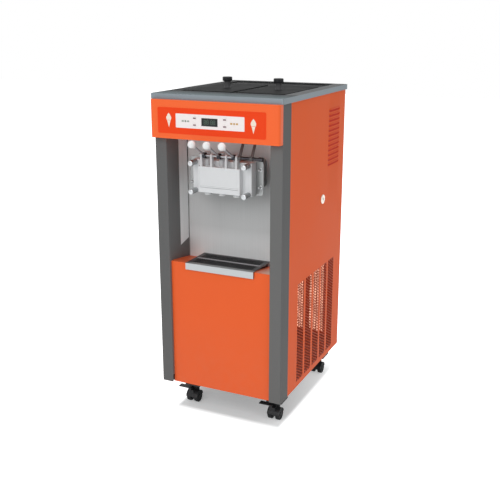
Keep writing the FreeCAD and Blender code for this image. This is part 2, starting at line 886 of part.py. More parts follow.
def dispensing_block():
    body = wide(head_width / 2, (front + head_front, front + head_back), (head_bottom, head_top))
    body = rounded(body, UP, head_corner, lambda edge: edge.CenterOfMass.y < front + head_front + past)
    boss = wide(boss_width / 2, (front + boss_front, front + head_front + past), (boss_bottom, boss_top))
    boss = rounded(boss, UP, head_corner, lambda edge: edge.CenterOfMass.y < front + boss_front + past)
    pieces = [body, boss]
    outer_lug = valve_pitch + hub_width / 2 + lug_width / 2 + lug_gap
    for x in (-outer_lug, -valve_pitch / 2, valve_pitch / 2, outer_lug):
        foot = block(middle(x, lug_width), middle(pivot_y, 2 * lug_radius), (boss_top - past, pivot_level))
        eye = rod(V(x - lug_width / 2, pivot_y, pivot_level), RIGHT, lug_radius, lug_width)
        pieces += [foot, eye]
    for x in valve_offsets:
        pieces.append(rod(V(x, valve_y, head_bottom - spout_length), UP, spout_radius, spout_length + past))
    return join(pieces).cut(group(head_bores())).cut(group(boss_relief()))


def head_bores():
    """The valve, nozzle and port bores, the pivot and stud holes and the pockets behind the block."""
    cuts = [rod(V(-half_width, pivot_y, pivot_level), RIGHT, pin_radius + running_gap, cabinet_width)]
    for x in valve_offsets:
        cuts.append(rod(V(x, valve_y, plunger_bottom), UP, plunger_radius + running_gap,
                        plunger_top - plunger_bottom))
        cuts.append(rod(V(x, valve_y, head_bottom - spout_length - past), UP, nozzle_bore,
                        plunger_bottom - head_bottom + spout_length + 2 * past))
        cuts.append(rod(V(x, valve_y, port_level), BACK, port_radius, head_back))
    back = front + head_back
    for x in (-cylinder_x, cylinder_x):
        cuts.append(rod(V(x, back - mouth_depth, cylinder_level), BACK, cylinder_radius - cylinder_wall,
                        mouth_depth + past))
        cuts.append(tube(V(x, back - seal_depth - running_gap, cylinder_level), BACK,
                         cylinder_radius + seal_width + seal_inset + running_gap,
                         cylinder_radius + seal_inset - running_gap, seal_depth + past))
    cuts.append(wide(cylinder_x - cylinder_radius / 2, (back - mouth_depth, back + past),
                     (port_level + port_radius / 2, port_level + 2 * port_radius)))
    for x, z in stud_places:
        cuts.append(rod(V(x, front, z), BACK, stud_radius + stud_gap, head_back + past))
    return cuts


def boss_relief():
    """The sunk field of the boss and the drip groove below it."""
    face = front + boss_front
    half = boss_width / 2 - field_border
    groove = middle(groove_level, groove_height)
    return [wide(half, (face - past, face + field_depth), (groove[1] + field_border / 2,
                                                          boss_top - field_border)),
            wide(half, (face - past, face + groove_depth), groove)]


def head_seals():
    rings = []
    for x in (-cylinder_x, cylinder_x):
        rings.append(tube(V(x, front + head_back - seal_depth, cylinder_level), BACK,
                          cylinder_radius + seal_inset + seal_width, cylinder_radius + seal_inset,
                          seal_depth))
    return group(rings)


def handscrews():
    screws = []
    for x, z in stud_places:
        centre = V(x, front + head_front - grip_length, z)
        stud = rod(V(x, front + head_front - stud_hold, z), BACK, stud_radius,
                   head_back - head_front + stud_hold)
        grip = rod(centre, BACK, grip_radius, grip_length)
        rims = [edge for edge in grip.Edges if edge.Curve.TypeId == "Part::GeomCircle"]
        grip = grip.makeChamfer(grip_bevel, rims)
        flutes = []
        for index in range(grip_flutes):
            angle = 2 * math.pi * index / grip_flutes
            spoke = V(math.cos(angle), 0, math.sin(angle)) * (grip_radius + grip_flute_radius / 2)
            flutes.append(rod(centre + spoke + BACK * grip_collar, BACK, grip_flute_radius,
                              grip_length - 2 * grip_collar))
        screws.append(join([stud, grip.cut(group(flutes))]))
    return group(screws)


def valve_plunger(x):
    """A plunger with a slot at its front, level with the lever's finger."""
    stem = rod(V(x, valve_y, plunger_bottom), UP, plunger_radius, plunger_top - plunger_bottom)
    across = middle(x, 2 * plunger_radius + 2 * past)
    start = valve_y - plunger_radius - past
    mouth = block(across, (start, finger_tip.y - finger_radius + slot_overlap),
                  middle(finger_tip.z, slot_mouth))
    seat = block(across, (start, finger_tip.y + finger_radius + slot_back),
                 middle(finger_tip.z, 2 * (finger_radius + slot_gap)))
    return stem.cut(mouth).cut(seat)


def draw_lever(x):
    centre = V(x, pivot_y, pivot_level)
    hub = rod(centre - RIGHT * (hub_width / 2), RIGHT, hub_radius, hub_width)
    ball = centre + V(0, -ball_reach, ball_rise)
    run = ball - centre
    arm = rod(centre, run, lever_rod_radius, run.Length)
    tip = V(x, finger_tip.y, finger_tip.z)
    finger = rod(centre, tip - centre, finger_radius / 2, (tip - centre).Length)
    roller = rod(tip - RIGHT * (finger_width / 2), RIGHT, finger_radius, finger_width)
    bore = rod(centre - RIGHT * hub_width, RIGHT, pin_radius + running_gap, 2 * hub_width)
    return join([hub, arm, finger, roller]).cut(bore)


def lever_ball(x):
    """A knob pushed on the lever's rod as far as the middle of the ball."""
    centre = V(x, pivot_y - ball_reach, pivot_level + ball_rise)
    run = V(0, -ball_reach, ball_rise).normalize()
    ball = Part.makeSphere(ball_radius, centre)
    socket = rod(centre - run * (ball_radius + past), run, lever_rod_radius + running_gap,
                 ball_radius + past)
    return ball.cut(socket)


def pivot_pin():
    left = -(valve_pitch + hub_width / 2 + lug_gap + lug_width)
    shaft = rod(V(left, pivot_y, pivot_level), RIGHT, pin_radius, pin_end - left)
    knob = rod(V(pin_end, pivot_y, pivot_level), RIGHT, pin_knob_radius, pin_knob_length)
    head = rod(V(left - pin_head, pivot_y, pivot_level), RIGHT, pin_knob_radius, pin_head)
    return join([shaft, knob, head])


def star_nozzles():
    """A ring for each outlet with a six-pointed opening, seated inside the spout."""
    nozzles = []
    for x in valve_offsets:
        base = V(x, valve_y, head_bottom - spout_length)
        body = rod(base - UP * nozzle_foot, UP, spout_radius + nozzle_lip, nozzle_foot)
        neck = rod(base, UP, nozzle_bore - running_gap, nozzle_neck)
        points = []
        for index in range(2 * star_points):
            angle = math.pi * index / star_points
            spoke = V(math.cos(angle), math.sin(angle), 0) * star_reach[index % 2]
            points.append(base + spoke - UP * (nozzle_foot + past))
        star = prism(points, UP * (nozzle_foot + nozzle_neck + 2 * past))
        nozzles.append(join([body, neck]).cut(star))
    return group(nozzles)


def switch_bail():
    """Two flat arms on the pivot pin, leaning back under the header, with a link between them."""
    width, thickness = bail_strip
    lean = V(0, math.sin(math.radians(bail_lean)), math.cos(math.radians(bail_lean)))
    across = lean.cross(RIGHT) * (thickness / 2)
    arms = []
    for x in bail_sides:
        start = V(x - width / 2, pivot_y, pivot_level)
        end = start + lean * bail_length
        arms.append(rod(start, RIGHT, pin_radius + bail_eye, width))
        arms.append(prism([start - across, start + across, end + across, end - across], RIGHT * width))
    link = V(bail_sides[0], pivot_y, pivot_level) + lean * (bail_length - thickness / 2)
    arms.append(rod(link, RIGHT, thickness / 2, bail_sides[1] - bail_sides[0]))
    bore = rod(V(0, pivot_y, pivot_level), RIGHT, pin_radius + running_gap, half_width)
    return join(arms).cut(bore)


# ---- freezing cylinders and drive ----
def freezing_cylinders():
    barrels = []
    length = cylinder_end - cylinder_start
    for x in (-cylinder_x, cylinder_x):
        start = V(x, front + cylinder_start, cylinder_level)
        barrel = rod(start, BACK, cylinder_radius, length)
        hollow = rod(start - BACK * past, BACK, cylinder_radius - cylinder_wall,
                     length - cylinder_end_wall + past)
        bearing = rod(start, BACK, shaft_radius + running_gap, length + past)
        inlet = rod(V(x, feed_y, cylinder_level), UP, feed_radius - feed_wall, 2 * cylinder_radius)
        barrels.append(barrel.cut(hollow).cut(bearing).cut(inlet))
    return group(barrels)


def cylinder_jacket():
    foam = wide(jacket_width / 2, (front + jacket_front, front + jacket_end),
                (cylinder_shelf_top, jacket_top))
    foam = rounded(foam, BACK, jacket_corner)
    for x in (-cylinder_x, cylinder_x):
        foam = foam.cut(rod(V(x, front, cylinder_level), BACK, cylinder_radius + jacket_gap, cabinet_depth))
        foam = foam.cut(rod(V(x, feed_y, cylinder_level), UP, feed_radius + feed_well, jacket_top))
    return foam


def helical_blade(turns, length, inner, outer, thickness, steps):
    """A spiral ribbon about the Y axis, from y = 0, as flat facets between turned sections."""
    def section(index):
        angle = 2 * math.pi * turns * index / steps
        spoke = V(math.cos(angle), 0, math.sin(angle))
        centre = BACK * (length * index / steps)
        half = BACK * (thickness / 2)
        return [centre + spoke * inner - half, centre + spoke * outer - half,
                centre + spoke * outer + half, centre + spoke * inner + half]
    faces = []
    sections = [section(index) for index in range(steps + 1)]
    for first, second in zip(sections, sections[1:]):
        for corner in range(4):
            follow = (corner + 1) % 4
            faces.append(triangle(first[corner], first[follow], second[follow]))
            faces.append(triangle(first[corner], second[follow], second[corner]))
    for end in (sections[0], sections[-1]):
        faces.append(triangle(end[0], end[1], end[2]))
        faces.append(triangle(end[0], end[2], end[3]))
    blade = Part.Solid(Part.Shell(faces))
    if blade.Volume < 0:
        blade.reverse()
    return blade


def triangle(a, b, c):
    return Part.Face(Part.makePolygon([a, b, c, a]))


def beater(x):
    start = V(x, front + beater_front, cylinder_level)
    outer = cylinder_radius - cylinder_wall - beater_clearance
    blade = helical_blade(beater_turns, cylinder_end - beater_stop - beater_front, shaft_radius / 2,
                          outer, beater_blade, beater_steps)
    shaft = rod(start - BACK * shaft_nose, BACK, shaft_radius,
                gearbox_front + shaft_hold - beater_front + shaft_nose)
    return join([blade.translated(start), shaft])


def gear_motors():
    units = []
    radius, length = gearbox_boss
    for x in (-cylinder_x, cylinder_x):
        face = V(x, front + gearbox_front, cylinder_level)
        box = block(middle(x, gearbox_size), band(face.y, gearbox_size), (cylinder_shelf_top, gearbox_top))
        box = rounded(box, UP, gearbox_corner)
        boss = rod(face - BACK * length, BACK, radius, length + past)
        motor = rod(V(x, face.y + gearbox_size / 2, motor_bottom), UP, motor_radius,
                    cylinder_shelf_top - motor_bottom + past)
        bore = rod(face - BACK * (length + past), BACK, shaft_radius + running_gap,
                   length + past + shaft_hold + shaft_room)
        units.append(join([box, boss, motor]).cut(bore))
    return group(units)


# ---- refrigeration and electrics ----
def condenser():
    """A finned coil behind the right panel's grille."""
    x = (inner_half - condenser_thickness - condenser_side_gap, inner_half - condenser_side_gap)
    y = band(front + condenser_front, condenser_length)
    z = (pan_top, pan_top + condenser_height)
    inside_y = (y[0] + condenser_frame, y[1] - condenser_frame)
    inside_z = (z[0] + condenser_frame, z[1] - condenser_frame)
    pieces = [block(x, y, z).cut(block((x[0] - past, x[1] + past), inside_y, inside_z))]
    fin_x = (x[0] + condenser_fin_inset, x[1] - condenser_fin_inset)
    pitch = (inside_z[1] - inside_z[0]) / (condenser_fins + 1)
    for index in range(condenser_fins):
        level = inside_z[0] + pitch * (index + 1)
        pieces.append(block(fin_x, inside_y, middle(level, condenser_fin)))
    for index in range(condenser_pipes):
        place = y[0] + condenser_length * (index + 1) / (condenser_pipes + 1)
        pieces.append(block(middle((x[0] + x[1]) / 2, condenser_pipe),
                            middle(place, condenser_pipe), inside_z))
    return join(pieces)


def fan_place():
    x = inner_half - condenser_thickness - condenser_side_gap
    return V(x, front + condenser_front + condenser_length / 2, pan_top + condenser_height / 2)


def fan_shroud():
    centre = fan_place()
    x = (centre.x - shroud_depth, centre.x)
    y = middle(centre.y, condenser_length)
    z = (pan_top, pan_top + condenser_height)
    stay_width, stay_thickness = fan_stay
    inside = block((x[0] + sheet, x[1] + past), (y[0] + sheet, y[1] - sheet), (z[0] + sheet, z[1] - sheet))
    face = centre - RIGHT * (shroud_depth + past)
    opening = rod(face, RIGHT, fan_radius + fan_tip_gap, sheet + 2 * past)
    motor = rod(face - RIGHT * fan_motor_length, RIGHT, fan_motor_radius, fan_motor_length)
    stay = block((x[0] - stay_thickness, x[0]), middle(centre.y, stay_width), z)
    pin = rod(face, RIGHT, fan_pin, shroud_depth + past - fan_setback + fan_width / 3)
    return join([block(x, y, z).cut(inside).cut(opening), motor, stay, pin])


def condenser_fan():
    centre = fan_place() - RIGHT * fan_setback
    hub = rod(centre, RIGHT, fan_hub, fan_width)
    blades = []
    for index in range(fan_blades):
        blade = block(middle(0, fan_blade), middle(0, fan_chord), (fan_hub - fan_root, fan_radius - fan_tip))
        blade.rotate(V(0, 0, 0), UP, fan_pitch)
        blade.rotate(V(0, 0, 0), RIGHT, 360 * index / fan_blades)
        blades.append(blade.translated(centre + RIGHT * (fan_width / 2)))
    envelope = rod(centre - RIGHT * fan_radius, RIGHT, fan_radius, 2 * fan_radius)
    fan = join([hub] + blades).common(envelope)
    return fan.cut(rod(centre - RIGHT * past, RIGHT, fan_pin + running_gap, past + fan_width / 2))


def compressor():
    centre = V(compressor_offset, front + compressor_depth, pan_top)
    width, depth, thickness = compressor_plate
    rise, taper = compressor_dome
    foot_radius, foot_inset = compressor_mount
    plate = block(middle(centre.x, width), middle(centre.y, depth),
                  band(centre.z + compressor_foot, thickness))
    can_bottom = compressor_foot + thickness
    can = rod(centre + UP * can_bottom, UP, compressor_radius, compressor_height - can_bottom - rise)
    dome = Part.makeCone(compressor_radius, compressor_radius - taper, rise,
                         centre + UP * (compressor_height - rise))
    feet = []
    for x in (foot_inset - width / 2, width / 2 - foot_inset):
        for y in (foot_inset - depth / 2, depth / 2 - foot_inset):
            feet.append(rod(centre + V(x, y, 0), UP, foot_radius, can_bottom))
    wall = centre.x + compressor_radius
    terminal = block((wall - terminal_root, wall + terminal_size[0]), middle(centre.y, terminal_size[1]),
                     band(centre.z + terminal_lift, terminal_size[2]))
    return join([plate, can, dome, terminal] + feet)


def control_box():
    width, depth, height = control_box_size
    box = block(band(inner_half - control_box_offset - width, width),
                band(front + control_box_depth, depth), band(pan_top, height))
    return rounded(box, UP, control_box_corner)


# ---- lock ----
def side_lock():
    centre = V(inner_half, front + lock_depth, lock_level)
    outer = centre + RIGHT * sheet
    cam_thickness, cam_width, cam_length = lock_cam
    slot_width, slot_size, slot_depth = lock_slot
    plug = rod(centre - RIGHT * lock_reach, RIGHT, lock_radius, lock_reach + sheet)
    bezel = rod(outer, RIGHT, lock_radius + lock_bezel, lock_face)
    cam = block(band(centre.x - lock_reach, cam_thickness), middle(centre.y, cam_width),
                (centre.z - cam_length, centre.z + lock_cam_heel))
    slot = block((outer.x + lock_face - slot_depth, outer.x + lock_face + past),
                 middle(centre.y, slot_width), middle(centre.z, slot_size))
    return join([plug, bezel, cam]).cut(slot)


# ---- castors ----
def castor_places():
    names = ["front_left", "front_right", "rear_left", "rear_right"]
    sides = [-castor_across, castor_across, -castor_across, castor_across]
    depths = [castor_front, castor_front, castor_rear, castor_rear]
    return [(name, x, front + y) for name, x, y in zip(names, sides, depths)]


def castor_fork(x, y, braked):
    axle = V(x, y, wheel_radius)
    swivel = V(x, y + castor_trail, swivel_level)
    web_half = wheel_gap / 2 - web_gap
    half = wheel_gap / 2 + wheel_width
    guard = wheel_radius + fender_gap
    web = wide(web_half, (-fork_nose, castor_trail + fork_reach), (wheel_radius, fork_top))
    hub = rod(axle - RIGHT * web_half, RIGHT, fork_hub, 2 * web_half)
    fender = tube(axle - RIGHT * half, RIGHT, guard + fender_wall, guard, 2 * half)
    fender = fender.common(block(middle(x, 2 * half), middle(y, 2 * (guard + fender_wall)),
                                 (guard + fender_wall, swivel_level)))
    neck_length = swivel_level - swivel_gap - fork_top + neck_root
    neck = rod(swivel - UP * (neck_length + swivel_gap), UP, fork_neck, neck_length)
    raceway = rod(swivel - UP * raceway_height, UP, raceway_radius, raceway_height - swivel_gap)
    pin = rod(swivel - UP * raceway_height, UP, kingpin_radius, leg_wall + 2 * raceway_height)
    pieces = [web.translated(V(x, y, 0)), hub, fender, neck, raceway, pin]
    if braked:
        for side in (-1, 1):
            place = y + pedal_offset + side * (pedal_width / 2 + pedal_lug / 2 + pedal_gap)
            pieces.append(block(middle(x - pedal_hinge, pedal_lug_width), middle(place, pedal_lug),
                                (pedal_lug_bottom, pedal_level + pedal_lug_top)))
    fork = join(pieces)
    fork = fork.cut(rod(axle - RIGHT * half, RIGHT, axle_radius + running_gap, 2 * half))
    for side in (-1, 1):
        fork = fork.cut(rod(axle + RIGHT * (side * web_half), RIGHT * side, guard, half))
    if braked:
        fork = fork.cut(rod(V(x - pedal_hinge, y - pedal_width, pedal_level), BACK,
                            pedal_pin + running_gap, 2 * pedal_width))
    return fork


def castor_wheels(x, y):
    axle = V(x, y, wheel_radius)
    length = wheel_gap + 2 * axle_end
    pieces = [rod(axle - RIGHT * (length / 2), RIGHT, axle_radius, length)]
    for side in (-1, 1):
        tread = rod(axle + RIGHT * (side * wheel_gap / 2), RIGHT * side, wheel_radius, wheel_width)
        rims = [edge for edge in tread.Edges if edge.Curve.TypeId == "Part::GeomCircle"]
        pieces.append(tread.makeChamfer(tread_bevel, rims))
    return join(pieces)


def brake_pedal(x, y):
    centre = V(x - pedal_hinge, y + pedal_offset, pedal_level)
    lift, thickness = pedal_plate
    barrel = rod(centre - BACK * (pedal_width / 2), BACK, 2 * pedal_pin, pedal_width)
    pin = rod(centre - BACK * (pedal_width / 2 + pedal_lug), BACK, pedal_pin, pedal_width + 2 * pedal_lug)
    plate = block((x - pedal_reach, centre.x), middle(centre.y, pedal_width),
                  band(pedal_level + lift, thickness))
    return join([barrel, pin, plate])


# ---- output ----
def main():
    os.makedirs("parts", exist_ok=True)
    write("chassis", chassis())
    write("front_posts", front_posts())
    right_side = side_panel()
    write("side_panel_left", mirrored(right_side))
    lock_hole = rod(V(inner_half - past, front + lock_depth, lock_level), RIGHT,
                    lock_radius + running_gap, sheet + 2 * past)
    write("side_panel_right", right_side.cut(lock_hole))
    write("rear_panel", rear_panel())
    write("cord_gland", cord_gland())
    write("front_panel", front_panel())
    write("bay_floor", bay_floor())
    write("splash_panel", splash_panel())
    write("header_cover", header_cover())
    write("control_fascia", control_fascia())
    write("display_lenses", display_lenses())
    for number, (x, z) in enumerate(key_places, 1):
        write("control_key_%d" % number, control_key(x, z))
    write("control_board", control_board())
    write("top_deck", top_deck())
    write("hoppers", hoppers())
    lid = hopper_lid()
    write("hopper_lid_left", mirrored(lid))
    write("hopper_lid_right", lid)
    write("drip_tray", drip_tray())
    write("tray_grate", tray_grate())
    write("head_flange", head_flange())
    write("dispensing_block", dispensing_block())
    write("head_seals", head_seals())
    write("handscrews", handscrews())
    for name, x in zip(valve_names, valve_offsets):
        write("valve_plunger_" + name, valve_plunger(x))
        write("draw_lever_" + name, draw_lever(x))
        write("lever_ball_" + name, lever_ball(x))
    write("pivot_pin", pivot_pin())
    write("star_nozzles", star_nozzles())
    write("switch_bail", switch_bail())
    write("freezing_cylinders", freezing_cylinders())
    write("cylinder_jacket", cylinder_jacket())
    write("beater_left", beater(-cylinder_x))
    write("beater_right", beater(cylinder_x))
    write("gear_motors", gear_motors())
    write("condenser", mirrored(condenser()))
    write("fan_shroud", mirrored(fan_shroud()))
    write("condenser_fan", mirrored(condenser_fan()))
    write("compressor", compressor())
    write("control_box", control_box())
    write("side_lock", side_lock())
    for name, x, y in castor_places():
        braked = name.startswith("front")
        write("castor_fork_" + name, castor_fork(x, y, braked))
        write("castor_wheels_" + name, castor_wheels(x, y))
        if braked:
            write("brake_pedal_" + name, brake_pedal(x, y))


main()
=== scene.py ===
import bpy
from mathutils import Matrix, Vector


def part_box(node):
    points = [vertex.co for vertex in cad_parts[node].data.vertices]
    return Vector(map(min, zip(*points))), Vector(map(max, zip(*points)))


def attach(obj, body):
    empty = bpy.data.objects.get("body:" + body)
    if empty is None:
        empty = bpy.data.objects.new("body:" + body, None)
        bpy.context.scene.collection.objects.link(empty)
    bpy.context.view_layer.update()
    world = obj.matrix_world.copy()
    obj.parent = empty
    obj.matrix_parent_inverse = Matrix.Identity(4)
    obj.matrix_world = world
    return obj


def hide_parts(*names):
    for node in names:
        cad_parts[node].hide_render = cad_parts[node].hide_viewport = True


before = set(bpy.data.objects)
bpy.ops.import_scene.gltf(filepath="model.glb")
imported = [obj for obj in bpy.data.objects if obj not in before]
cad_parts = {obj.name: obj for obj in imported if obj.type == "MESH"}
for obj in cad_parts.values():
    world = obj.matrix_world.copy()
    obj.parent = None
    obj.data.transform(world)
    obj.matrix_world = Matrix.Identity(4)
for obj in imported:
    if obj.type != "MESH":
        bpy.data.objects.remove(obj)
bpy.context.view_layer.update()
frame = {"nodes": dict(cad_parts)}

import fnmatch
import math

import bpy
import numpy as np
from mathutils import Vector

print("frame loaded:", len(frame["nodes"]), "nodes")

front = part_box("front_posts")[0].y        # y of the corner posts' fronts
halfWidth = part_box("front_posts")[1].x    # half the cabinet's width


# Surfaces are worked out with numpy. A part is (points, groups): an array of points and a list of
# face arrays, one row a face.

def gridPart(points, closedU=False, closedV=False):
    # Face (u, v) joins points (u, v), (u+1, v), (u+1, v+1) and (u, v+1), wrapping where asked.
    nu, nv = points.shape[:2]
    u = np.arange(nu if closedU else nu - 1)
    v = np.arange(nv if closedV else nv - 1)
    u, v = (side.ravel() for side in np.meshgrid(u, v, indexing="ij"))
    u2, v2 = (u + 1) % nu, (v + 1) % nv
    faces = np.stack([u * nv + v, u2 * nv + v, u2 * nv + v2, u * nv + v2], axis=1)
    return points.reshape(-1, 3), [faces]


def joined(parts):
    # Several parts as one, with each face's numbers moved past the points before it.
    points, groups, count = [], [], 0
    for partPoints, partGroups in parts:
        points.append(partPoints)
        groups += [faces + count for faces in partGroups]
        count += len(partPoints)
    return np.concatenate(points), groups


def welded(part):
    # Points closer than a hundredth of a millimetre become one.
    points, groups = part
    keys = np.round(points * 1e5).astype(np.int64)
    first, place = np.unique(keys, axis=0, return_index=True, return_inverse=True)[1:]
    return points[first], [place.ravel()[faces] for faces in groups]


def flipped(part):
    return part[0], [faces[:, ::-1] for faces in part[1]]


def moved(part, offset):
    return part[0] + np.array(offset), part[1]


def mapped(part, across, up, outward, origin):
    # Point = origin + x * across + y * up + z * outward; the winding follows their hand.
    axes = np.array([across, up, outward], float)
    points = part[0] @ axes + np.array(origin)
    leftHanded = np.dot(np.cross(axes[0], axes[1]), axes[2]) < 0
    return flipped((points, part[1])) if leftHanded else (points, part[1])


def thickened(part, offset):
    # The sheet, its copy moved by the offset and turned over, and a wall along every open edge: one
    # that no neighbouring face runs back along.
    points, groups = welded(part)
    count = len(points)
    edges = np.concatenate([np.stack([faces, np.roll(faces, -1, axis=1)], axis=2).reshape(-1, 2)
                            for faces in groups])
    rims = edges[~np.isin(edges @ [count, 1], edges @ [1, count])]
    walls = np.stack([rims[:, 1], rims[:, 0], rims[:, 0] + count, rims[:, 1] + count], axis=1)
    backs = [faces[:, ::-1] + count for faces in groups]
    return np.concatenate([points, points + np.array(offset)]), groups + backs + [walls]


def turned(profile, segments=48, flute=None):
    # Point = (r cos t, r sin t, h) for each (r, h) of the profile and each t of the round, closed at
    # the axis; flute(t, h) scales r.
    profile = np.array(profile, float)
    angle = np.linspace(0, 2 * np.pi, segments, endpoint=False)[:, None]
    body = profile[1:-1] if profile[0, 0] == 0 else profile
    radius, height = body.T
    if flute:
        radius = radius * flute(angle, height)
    rings = np.broadcast_arrays(radius * np.cos(angle), radius * np.sin(angle), height)
    points, groups = gridPart(np.stack(rings, axis=2), closedU=True)
    if profile[0, 0] != 0:
        return points, groups
    rows = len(body)
    ring = np.arange(segments) * rows
    after = np.roll(ring, -1)
    low = np.stack([after, ring, np.full(segments, len(points))], axis=1)
    high = np.stack([ring + rows - 1, after + rows - 1, low[:, 2] + 1], axis=1)
    poles = [[0, 0, profile[0, 1]], [0, 0, profile[-1, 1]]]
    return np.concatenate([points, poles]), groups + [low, high]


def arc(centre, radius, start, end, steps=10):
    # Centre + radius * (cos t, sin t), with t in degrees.
    angle = np.radians(np.linspace(start, end, steps + 1))
    return np.stack([np.cos(angle), np.sin(angle)], axis=1) * radius + centre


def roundedBox(low, high, radius, steps=3):
    # Eight sphere corners pushed apart to the box's size; the faces between them stay flat.
    low, high = np.array(low, float), np.array(high, float)
    half = (high - low) / 2
    quarter = np.linspace(0, np.pi / 2, steps + 1)
    around = np.concatenate([quarter + turn * np.pi / 2 for turn in range(4)])
    rise = np.concatenate([quarter - np.pi / 2, quarter])
    unit = np.stack([np.cos(around)[:, None] * np.cos(rise), np.sin(around)[:, None] * np.cos(rise),
                     np.ones(len(around))[:, None] * np.sin(rise)], axis=2)
    signs = np.stack([np.repeat([1, -1, -1, 1], steps + 1)[:, None] * np.ones(len(rise)),
                      np.repeat([1, 1, -1, -1], steps + 1)[:, None] * np.ones(len(rise)),
                      np.ones(len(around))[:, None] * np.repeat([-1, 1], steps + 1)], axis=2)
    points = (low + high) / 2 + signs * (half - radius) + unit * radius
    skin, groups = gridPart(points, closedU=True)
    ring = np.arange(len(around)) * len(rise)
    return welded((skin, groups + [ring[None, ::-1], (ring + len(rise) - 1)[None, :]]))


def plate(outline, thickness):
    # A flat outline in x and y, given anticlockwise, raised to a thickness.
    points = np.concatenate([outline, np.zeros((len(outline), 1))], axis=1)
    return thickened(flipped((points, [np.arange(len(outline))[None]])), [0, 0, thickness])


def roundedOutline(halfX, halfY, corner, level):
    # A rectangle with round corners at one height, anticlockwise.
    turns = ((1, 1, 0), (-1, 1, 90), (-1, -1, 180), (1, -1, 270))
    outline = np.concatenate([arc((x * (halfX - corner), y * (halfY - corner)), corner, turn, turn + 90, 5)
                              for x, y, turn in turns])
    return np.concatenate([outline, np.full((len(outline), 1), level)], axis=1)


def lofted(rings, ring=False):
    # Skin through outlines of equal length: flat at both ends, or back to the first as a ring.
    points = np.stack(rings, axis=1)
    skin, groups = gridPart(points, closedU=True, closedV=ring)
    first = np.arange(len(points)) * len(rings)
    return skin, groups if ring else groups + [first[None, ::-1], (first + len(rings) - 1)[None]]


def placed(name, data):
    thing = bpy.data.objects.new(name, data)
    bpy.context.scene.collection.objects.link(thing)
    return thing


def addPiece(name, part, finish, body, replaces=(), smoothAngle=32):
    points, groups = part
    mesh = bpy.data.meshes.new(name)
    mesh.from_pydata(points.tolist(), [], [row for faces in groups for row in faces.tolist()])
    mesh.validate()
    mesh.shade_smooth()
    mesh.set_sharp_from_angle(angle=math.radians(smoothAngle))
    mesh.materials.append(finishes[finish])
    piece = placed(name, mesh)
    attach(piece, body)
    if replaces:
        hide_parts(*replaces)
    return piece


# Shader values. Each sign between two of them adds a math node to their tree.

def mathSign(operation, turnedRound=False):
    def sign(self, other=0.0):
        a, b = (other, self) if turnedRound else (self, other)
        return out(addNode(self.tree, "Math", {"operation": operation}, i0=a, i1=b))
    return sign


class Flow:
    def __init__(self, socket):
        self.tree, self.socket = socket.id_data, socket

    def clamped(self):
        self.socket.node.use_clamp = True
        return self

    __add__, __sub__ = mathSign("ADD"), mathSign("SUBTRACT")
    __rsub__ = mathSign("SUBTRACT", turnedRound=True)
    __mul__, __truediv__ = mathSign("MULTIPLY"), mathSign("DIVIDE")
    __gt__, __lt__ = mathSign("GREATER_THAN"), mathSign("LESS_THAN")
    __abs__, squareRoot, sine = mathSign("ABSOLUTE"), mathSign("SQRT"), mathSign("SINE")
    atLeast, power, fraction = mathSign("MAXIMUM"), mathSign("POWER"), mathSign("FRACT")


def feed(socket, value):
    # Links a shader value to a socket, or sets a plain one on it.
    if isinstance(value, Flow):
        socket.id_data.links.new(value.socket, socket)
    else:
        socket.default_value = value


def addNode(tree, kind, settings=(), **inputs):
    # A node with its settings, and its inputs by name, or by number as i0 and i1.
    node = tree.nodes.new("ShaderNode" + kind)
    for key, value in dict(settings).items():
        setattr(node, key, value)
    for key, value in inputs.items():
        feed(node.inputs[int(key[1:]) if key[1:].isdigit() else key.replace("_", " ")], value)
    return node


def out(node, name=0):
    return Flow(node.outputs[name])


def shade(colour, factor):
    return tuple(channel * factor for channel in colour)


def mix(factor, a, b, blend="MIX"):
    # Colour b laid over colour a by a factor.
    a, b = (side if isinstance(side, Flow) else tuple(side) + (1.0,) for side in (a, b))
    tree = [side for side in (factor, a, b) if isinstance(side, Flow)][0].tree
    return out(addNode(tree, "Mix", {"data_type": "RGBA", "blend_type": blend},
                       i0=factor, i6=a, i7=b), 2)


def layered(base, *layers):
    # Tones laid over a base one after another, each by its mask.
    for mask, tone in layers:
        base = mix(mask, base, tone)
    return base


def ramp(value, low, high, top=1.0):
    # 0 at one value, the top at the other, straight between them.
    return out(addNode(value.tree, "MapRange", i0=value, i1=low, i2=high, i3=0.0, i4=top))


def vectorNode(tree, operation, a, **b):
    return addNode(tree, "VectorMath", {"operation": operation}, i0=a, **b)


def noise(tree, place, scale, detail):
    return out(addNode(tree, "TexNoise", Vector=place, Scale=scale, Detail=detail), "Fac")


def objectPlace(tree):
    return out(addNode(tree, "TexCoord"), "Object")


def coordinates(tree, vector=None):
    # x, y and z of a vector, or of the place on the piece.
    node = addNode(tree, "SeparateXYZ", Vector=vector or objectPlace(tree))
    return [out(node, axis) for axis in "XYZ"]


def facing(tree):
    return coordinates(tree, out(addNode(tree, "NewGeometry"), "Normal"))


def nodeGroup(name, inputs, build):
    # A group with inputs by name and default; build(tree, inputs) gives its outputs by name.
    def addSocket(key, way, vector):
        kind = "NodeSocketVector" if vector else "NodeSocketFloat"
        return tree.interface.new_socket(key, in_out=way, socket_type=kind)
    tree = bpy.data.node_groups.new(name, "ShaderNodeTree")
    for key, default in inputs.items():
        addSocket(key, "INPUT", isinstance(default, tuple)).default_value = default
    source = tree.nodes.new("NodeGroupInput")
    results = build(tree, {key: out(source, key) for key in inputs})
    for key in results:
        addSocket(key, "OUTPUT", key == "Normal")
    target = tree.nodes.new("NodeGroupOutput")
    for key, value in results.items():
        feed(target.inputs[key], value)
    return tree


